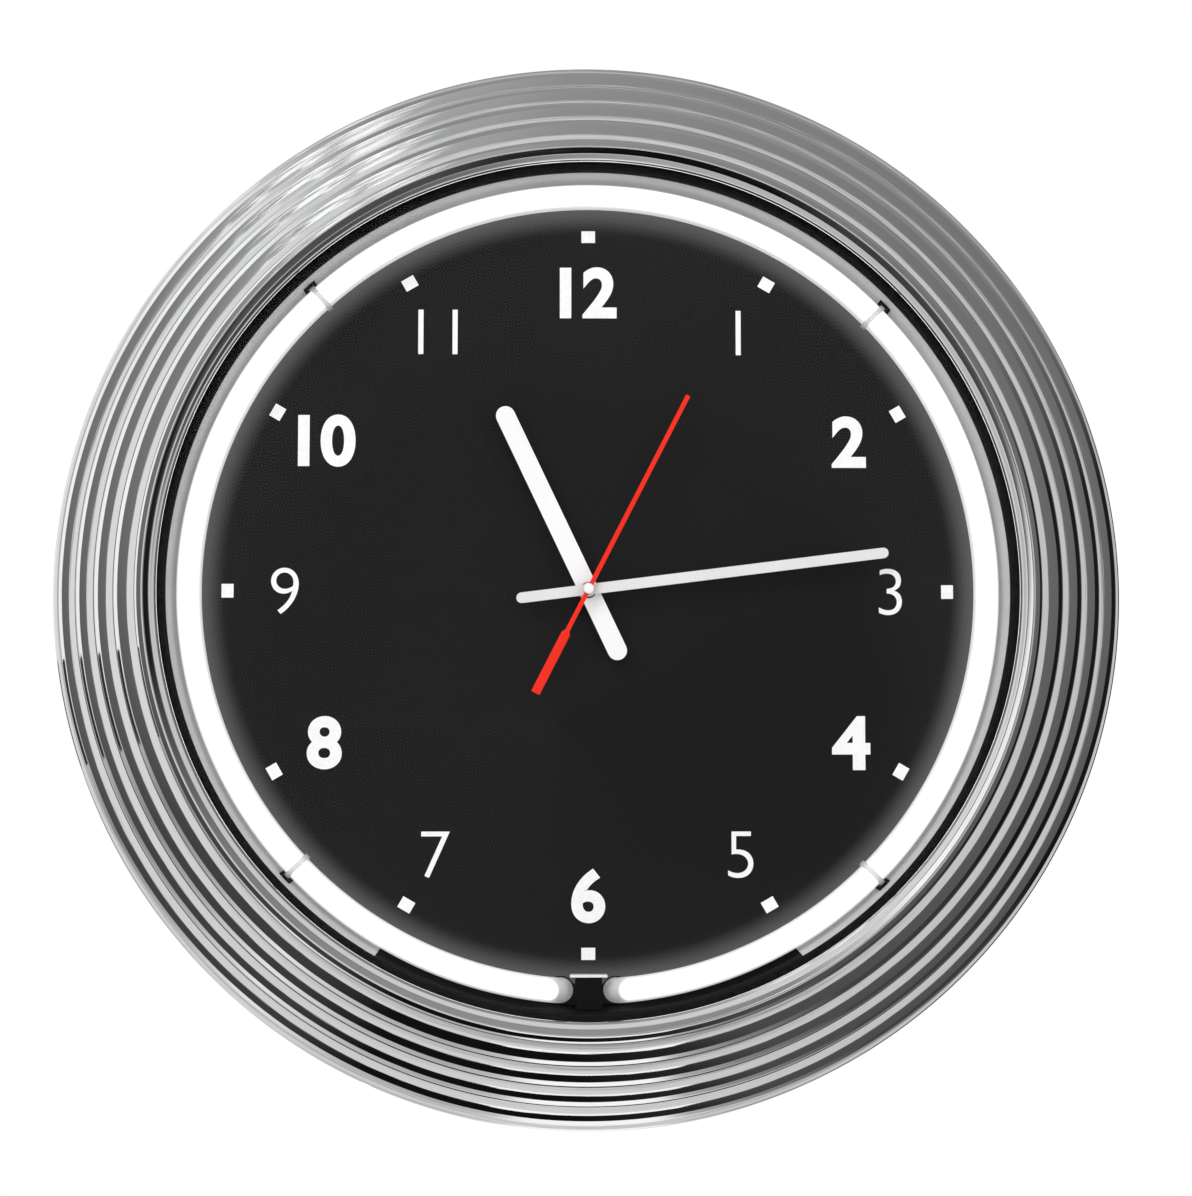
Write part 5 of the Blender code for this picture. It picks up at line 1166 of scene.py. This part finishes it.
def make_hanger():
    """Steel plate with the keyhole, riveted inside the pan behind its opening."""
    plate = slab("hanger", rounded_outline(0.0220, 0.0990, 0.1450, 0.0035), 0.0028, 0.0043)
    half, back, front = 0.0023, 0.0020, 0.0050
    cut(plate, peg("hole", 0.0047, back, front, (0, KEYHOLE_LOW), 40))
    cut(plate, block("slot", (-half, KEYHOLE_LOW, back), (half, KEYHOLE_HIGH, front)))
    cut(plate, peg("hole", half, back, front, (0, KEYHOLE_HIGH), 40))
    soften(plate, 0.0002)
    section = [
        (0, 0.0003),
        (0.0011, 0.00034),
        (0.0016, 0.0005),
        (0.0018, 0.0008),
        (0.0018, 0.0034),
        (0, 0.0034),
    ]
    for side in (-1, 1):
        for up in HANGER_RIVETS:
            centre = MIDDLE + Vector((side * HANGER_SIDE, 0.0, up))
            join(plate, turn_section("rivet", section, 24, centre, FACING, Vector((1, 0, 0))))
    finish_piece(plate, "clock_body", steel, "steel", "hanger_plate", flats=True)


def make_ring_screws():
    """One domed cross-head screw, then a copy at each angle."""
    section = [
        (0, 0.0420),
        (0.0018, 0.0421),
        (0.0027, 0.0424),
        (0.0032, 0.0429),
        (0.0034, 0.0436),
        (0.0034, 0.0442),
        (0.0015, 0.0442),
        (0.0015, 0.0574),
        (0.0008, 0.0582),
        (0, 0.0582),
    ]
    screw = turn_section("screw", section, 32, spot(SCREW_CIRCLE, 0, 0), FACING, Vector((1, 0, 0)))
    long, thin = 0.0019, 0.00035
    for wide, tall in ((long, thin), (thin, long)):
        low = (-wide, SCREW_CIRCLE - tall, 0.0410)
        high = (wide, SCREW_CIRCLE + tall, 0.0431)
        cut(screw, block("recess", low, high))
    for number, angle in enumerate(SCREW_ANGLES, 1):
        one = carry_round(another(screw, f"rim_screw_{number}"), angle)
        finish_piece(one, "clock_body", steel, "steel", f"ring_screw_{number}", flats=True)
    bpy.data.objects.remove(screw)


def make_inlet():
    """Round low-voltage socket, made facing 12 o'clock and carried to its place."""
    section = [
        (0, -0.0150),
        (0.0048, -0.0150),
        (0.0048, 0.0),
        (0.0060, 0.0),
        (0.0062, 0.0002),
        (0.0062, 0.0011),
        (0.0059, 0.0016),
        (0.0033, 0.0016),
        (0.0030, 0.0013),
        (0.0030, -0.0094),
        (0.0010, -0.0094),
        (0.0010, -0.0022),
        (0.0007, -0.0016),
        (0, -0.0016),
    ]
    centre = MIDDLE + Vector((0.0, -INLET_DEPTH, INLET_FACE))
    socket = turn_section("socket", section, 48, centre, Vector((0, 0, 1)), FACING)
    half_wide, half_thick = 0.0012, 0.0003
    for side in (-0.0024, 0.0024):
        low = (side - half_wide, INLET_FACE - 0.0200, INLET_DEPTH - half_thick)
        high = (side + half_wide, INLET_FACE - 0.0145, INLET_DEPTH + half_thick)
        join(socket, block("tag", low, high))
    carry_round(socket, NOTCH_ANGLE)
    finish_piece(socket, "clock_body", black_plastic, "black_plastic", "power_inlet")


def make_switch():
    """Rocker switch in the pan's side wall, made at 12 o'clock and carried to its place."""
    def part(name, half_long, half_deep, low, high, aside=0.0):
        return block(
            name,
            (aside - half_long, SWITCH_FACE + low, SWITCH_DEPTH - half_deep),
            (aside + half_long, SWITCH_FACE + high, SWITCH_DEPTH + half_deep),
        )

    bezel = part("switch_frame", 0.0095, 0.0065, 0.0, 0.0018)
    soften(bezel, 0.0005, 3)
    join(bezel, part("body", 0.0080, 0.00525, -0.0120, 0.0006))
    cut(bezel, part("well", 0.0069, 0.0040, -0.0090, 0.0030))
    reach = 0.0046
    at = (0, SWITCH_FACE)
    cut(bezel, peg("hole", 0.0014, SWITCH_DEPTH - reach, SWITCH_DEPTH + reach, at))
    for side in (-0.0040, 0.0040):
        join(bezel, part("tag", 0.0012, 0.0003, -0.0170, -0.0115, side))
    carry_round(bezel, SWITCH_ANGLE)
    finish_piece(bezel, "clock_body", black_plastic, "black_plastic", "switch_body", flats=True)
    make_rocker()


def make_rocker():
    """The rocker with its dished face and its axle, tilted to one side as it rests."""
    tilt = math.radians(12)
    long, dip = 0.0115, 0.0005
    edge = [(-0.0022, -0.00315), (-0.0022, 0.00315), (0.0, 0.0063)]
    for aside in (0.005738, 0.0038, 0.0019, 0.0, -0.0019, -0.0038, -0.005738):
        edge.append((0.0026 - dip * math.cos(math.pi * aside / long), aside))
    edge.append((0.0, -0.0063))
    outline = []
    for out, aside in edge:
        turned_out = out * math.cos(tilt) - aside * math.sin(tilt)
        turned_aside = out * math.sin(tilt) + aside * math.cos(tilt)
        outline.append((-turned_aside, SWITCH_FACE + turned_out))
    rocker = slab("rocker_key", outline, SWITCH_DEPTH - 0.0037, SWITCH_DEPTH + 0.0037)
    soften(rocker, 0.0003, 2, 25)
    reach = 0.0043
    at = (0, SWITCH_FACE)
    join(rocker, peg("axle", 0.0011, SWITCH_DEPTH - reach, SWITCH_DEPTH + reach, at))
    carry_round(rocker, SWITCH_ANGLE)
    finish_piece(rocker, "rocker", switch_gloss, "switch_gloss", "switch_rocker", flats=True)


def make_battery():
    """The cell that works the hands: a jacket with its rolled ends, and its raised cap."""
    section = [
        (0, -0.0250),
        (0.0060, -0.0250),
        (0.0066, -0.0248),
        (0.0070, -0.0243),
        (0.0070, 0.0231),
        (0.0067, 0.0236),
        (0.0061, 0.0238),
        (0.0026, 0.0238),
        (0.0026, 0.0247),
        (0.0023, 0.0250),
        (0, 0.0250),
    ]
    centre = MIDDLE + Vector((0.0, -0.0413, -0.0191))
    cell = turn_section("cell", section, 48, centre, Vector((1, 0, 0)), FACING)
    finish_piece(cell, "battery_cell", battery_jacket, "battery_jacket", "battery")


# Studio


def new_glow(name):
    """A studio material that only gives off its own tone."""
    made = bpy.data.materials.new(name)
    made.use_nodes = True
    tree = made.node_tree
    tree.nodes.clear()
    light = tree.nodes.new("ShaderNodeEmission")
    end = tree.nodes.new("ShaderNodeOutputMaterial")
    tree.links.new(light.outputs[0], end.inputs["Surface"])
    return made, tree, light


def round_the_clock(tree, turn, *stops):
    """A tone for every direction round the clock, from (degrees from 12, tone) stops."""
    ramp = tree.nodes.new("ShaderNodeValToRGB")
    keys = ramp.color_ramp.elements
    keys.remove(keys[1])
    for number, (degrees, tone) in enumerate(stops):
        key = keys.new(degrees / 360) if number else keys[0]
        key.position = degrees / 360
        key.color = (tone, tone, tone, 1.0)
    tree.links.new(turn, ramp.inputs["Fac"])
    return ramp.outputs["Color"]


def torn_patch(tree, turn, out, far):
    """Broken bright strips high on the left, long round the clock and short across it."""
    place = tree.nodes.new("ShaderNodeCombineXYZ")
    for value, scale, socket in zip((turn, out, far), (70.0, 7.0, 7.0), place.inputs):
        tree.links.new(times(tree, value, scale), socket)
    torn = spread(tree, noise(tree, place.outputs["Vector"], 1.0, 3.0, 0.6), 0.48, 0.54, 0.0, 1.0)
    rises = spread(tree, turn, 0.890, 0.905, 0.0, 1.0)
    falls = spread(tree, turn, 0.948, 0.962, 1.0, 0.0)
    return times(tree, torn, times(tree, rises, falls))


def make_tent_cloth():
    """Grey cloth: a pale disc in front with a darker middle, then bands back to the wall."""
    made, tree, light = new_glow("tent_cloth")
    x, y, z, far = from_middle(tree)
    turn = sum_node(tree, "DIVIDE", sum_node(tree, "ARCTAN2", x, z), math.tau)
    turn = sum_node(tree, "FRACT", sum_node(tree, "ADD", turn, 1.0))
    before = round_the_clock(
        tree, turn,
        (0, 0.66), (45, 0.60), (80, 0.58), (105, 0.60), (135, 0.58), (165, 0.64),
        (180, 0.68), (205, 0.66), (245, 0.68), (270, 0.74), (315, 0.76), (340, 0.66), (360, 0.66),
    )
    centre = round_the_clock(
        tree, turn,
        (0, 0.40), (30, 0.36), (50, 0.26), (64, 0.10), (90, 0.05), (118, 0.07), (140, 0.16),
        (160, 0.26), (180, 0.36), (210, 0.48), (250, 0.52), (300, 0.50), (345, 0.46), (360, 0.40),
    )
    near = round_the_clock(
        tree, turn,
        (0, 0.29), (20, 0.24), (45, 0.18), (80, 0.14), (105, 0.11), (130, 0.09), (155, 0.07),
        (166, 0.02), (180, 0.005), (207, 0.006), (218, 0.045), (245, 0.06), (270, 0.12),
        (290, 0.17), (311, 0.22), (322, 0.34), (334, 0.48), (346, 0.40), (360, 0.29),
    )
    beside = round_the_clock(
        tree, turn,
        (0, 0.30), (30, 0.27), (50, 0.20), (64, 0.09), (74, 0.012), (118, 0.008), (130, 0.04),
        (145, 0.06), (160, 0.24), (168, 0.45), (171, 1.0), (186, 1.0), (190, 0.55), (197, 0.42),
        (208, 0.50), (222, 0.85), (233, 0.45), (246, 0.26), (258, 0.55), (266, 0.92), (285, 0.97),
        (300, 0.90), (318, 1.0), (328, 0.55), (338, 0.26), (348, 0.28), (360, 0.30),
    )
    behind = round_the_clock(
        tree, turn,
        (0, 0.50), (30, 0.42), (55, 0.26), (70, 0.02), (118, 0.006), (132, 0.10), (150, 0.44),
        (165, 0.62), (172, 0.95), (186, 0.95), (192, 0.60), (205, 0.50), (240, 0.55), (270, 0.46),
        (290, 0.42), (318, 0.75), (335, 0.30), (350, 0.45), (360, 0.50),
    )
    out = times(tree, y, -1.0)
    near = colours(tree, torn_patch(tree, turn, out, far), near, (1.1, 1.1, 1.1))
    cloth = colours(tree, spread(tree, out, -0.38, -0.28, 0.0, 1.0), behind, beside)
    cloth = colours(tree, spread(tree, out, 0.44, 0.54, 0.0, 1.0), cloth, near)
    front = sum_node(tree, "GREATER_THAN", out, 1.29)
    before = colours(tree, spread(tree, far, 0.26, 0.33, 0.0, 1.0), centre, before)
    inside = spread(tree, far, 0.50, 0.58, 1.0, 0.0)
    cloth = colours(tree, times(tree, front, inside), cloth, before)
    tree.links.new(cloth, light.inputs["Color"])
    return made


def set_aside(piece):
    """A studio piece that only the chrome and the glass show."""
    piece.visible_camera = False
    piece.visible_diffuse = False
    piece.visible_transmission = False
    piece.visible_shadow = False


def make_card(name, tone, low, high, angle):
    """A flat card inside the tent, made at 12 o'clock and carried round."""
    card = carry_round(block(name, low, high), angle)
    made, tree, light = new_glow(name)
    light.inputs["Color"].default_value = (tone, tone, tone, 1.0)
    card.data.materials.append(made)
    set_aside(card)


def make_room():
    """Pale floor below the clock, and the studio's grey tent and cards that the chrome shows."""
    put_down()
    bpy.ops.mesh.primitive_plane_add(size=12, location=(0, 0, -1.35))
    floor = named("floor")
    floor.data.materials.append(new_finish("floor_white", (0.85, 0.85, 0.85), 0.8)[0])
    put_down()
    bpy.ops.mesh.primitive_cylinder_add(
        radius=TENT_RADIUS,
        depth=2.5,
        vertices=96,
        location=MIDDLE + FACING * 0.05,
        rotation=(math.radians(90), 0, 0),
    )
    tent = take_up(named("tent"))
    bpy.ops.object.transform_apply(location=True, rotation=True, scale=True)
    tent.data.materials.append(make_tent_cloth())
    set_aside(tent)
    make_card("card_gap", 0.03, (-0.11, 1.040, -0.32), (0.11, 1.045, 0.30), 260.3)
    make_card("card_low_strip", 1.0, (-0.13, 0.46, 1.270), (0.13, 0.62, 1.275), 177.5)


def make_light():
    world = bpy.data.worlds.new("studio")
    bpy.context.scene.world = world
    world.use_nodes = True
    tree = world.node_tree
    back = tree.nodes["Background"]
    path = tree.nodes.new("ShaderNodeLightPath")
    seen = sum_node(tree, "MAXIMUM", path.outputs["Is Camera Ray"], path.outputs["Is Glossy Ray"])
    seen = sum_node(tree, "MAXIMUM", seen, path.outputs["Is Transmission Ray"])
    back.inputs["Color"].default_value = (1.0, 1.0, 1.0, 1.0)
    tree.links.new(spread(tree, seen, 0.0, 1.0, 0.70, 1.0), back.inputs["Strength"])
    for name, power, size, place in (
        ("key", 16.0, 1.0, (-0.9, -1.5, 1.0)),
        ("fill", 6.0, 1.2, (1.2, -1.4, 0.3)),
        ("rear", 14.0, 1.0, (0.8, 1.5, 0.9)),
    ):
        lamp = bpy.data.lights.new(name, "AREA")
        lamp.energy = power
        lamp.size = size
        lamp_object = bpy.data.objects.new(name, lamp)
        lamp_object.location = place
        aim = MIDDLE - Vector(place)
        lamp_object.rotation_euler = aim.to_track_quat("-Z", "Y").to_euler()
        lamp_object.visible_glossy = False
        lamp_object.visible_camera = False
        bpy.context.scene.collection.objects.link(lamp_object)


def make_camera():
    camera = bpy.data.cameras.new("camera")
    camera.lens = 85.0
    camera.sensor_width = 36.0
    camera.shift_x = 0.0068
    camera.shift_y = -0.0042
    eye = bpy.data.objects.new("camera", camera)
    bpy.context.scene.collection.objects.link(eye)
    target = MIDDLE + FACING * 0.045
    turn, lift = math.radians(-1.2), math.radians(-5.2)
    level = math.cos(lift)
    away = Vector((math.sin(turn) * level, -math.cos(turn) * level, math.sin(lift)))
    eye.location = target + away * CAMERA_AWAY
    eye.rotation_euler = (-away).to_track_quat("-Z", "Y").to_euler()
    bpy.context.scene.camera = eye


finish_cad_nodes()
make_camera()
make_light()
make_room()
make_ribbed_ring()
make_gasket()
make_reflector()
make_end_cover()
make_tube()
make_supports()
make_dial()
make_hands()
make_rear_pan()
make_hanger()
make_ring_screws()
make_inlet()
make_switch()
make_battery()

bpy.context.scene.view_settings.view_transform = "Standard"

put_down()
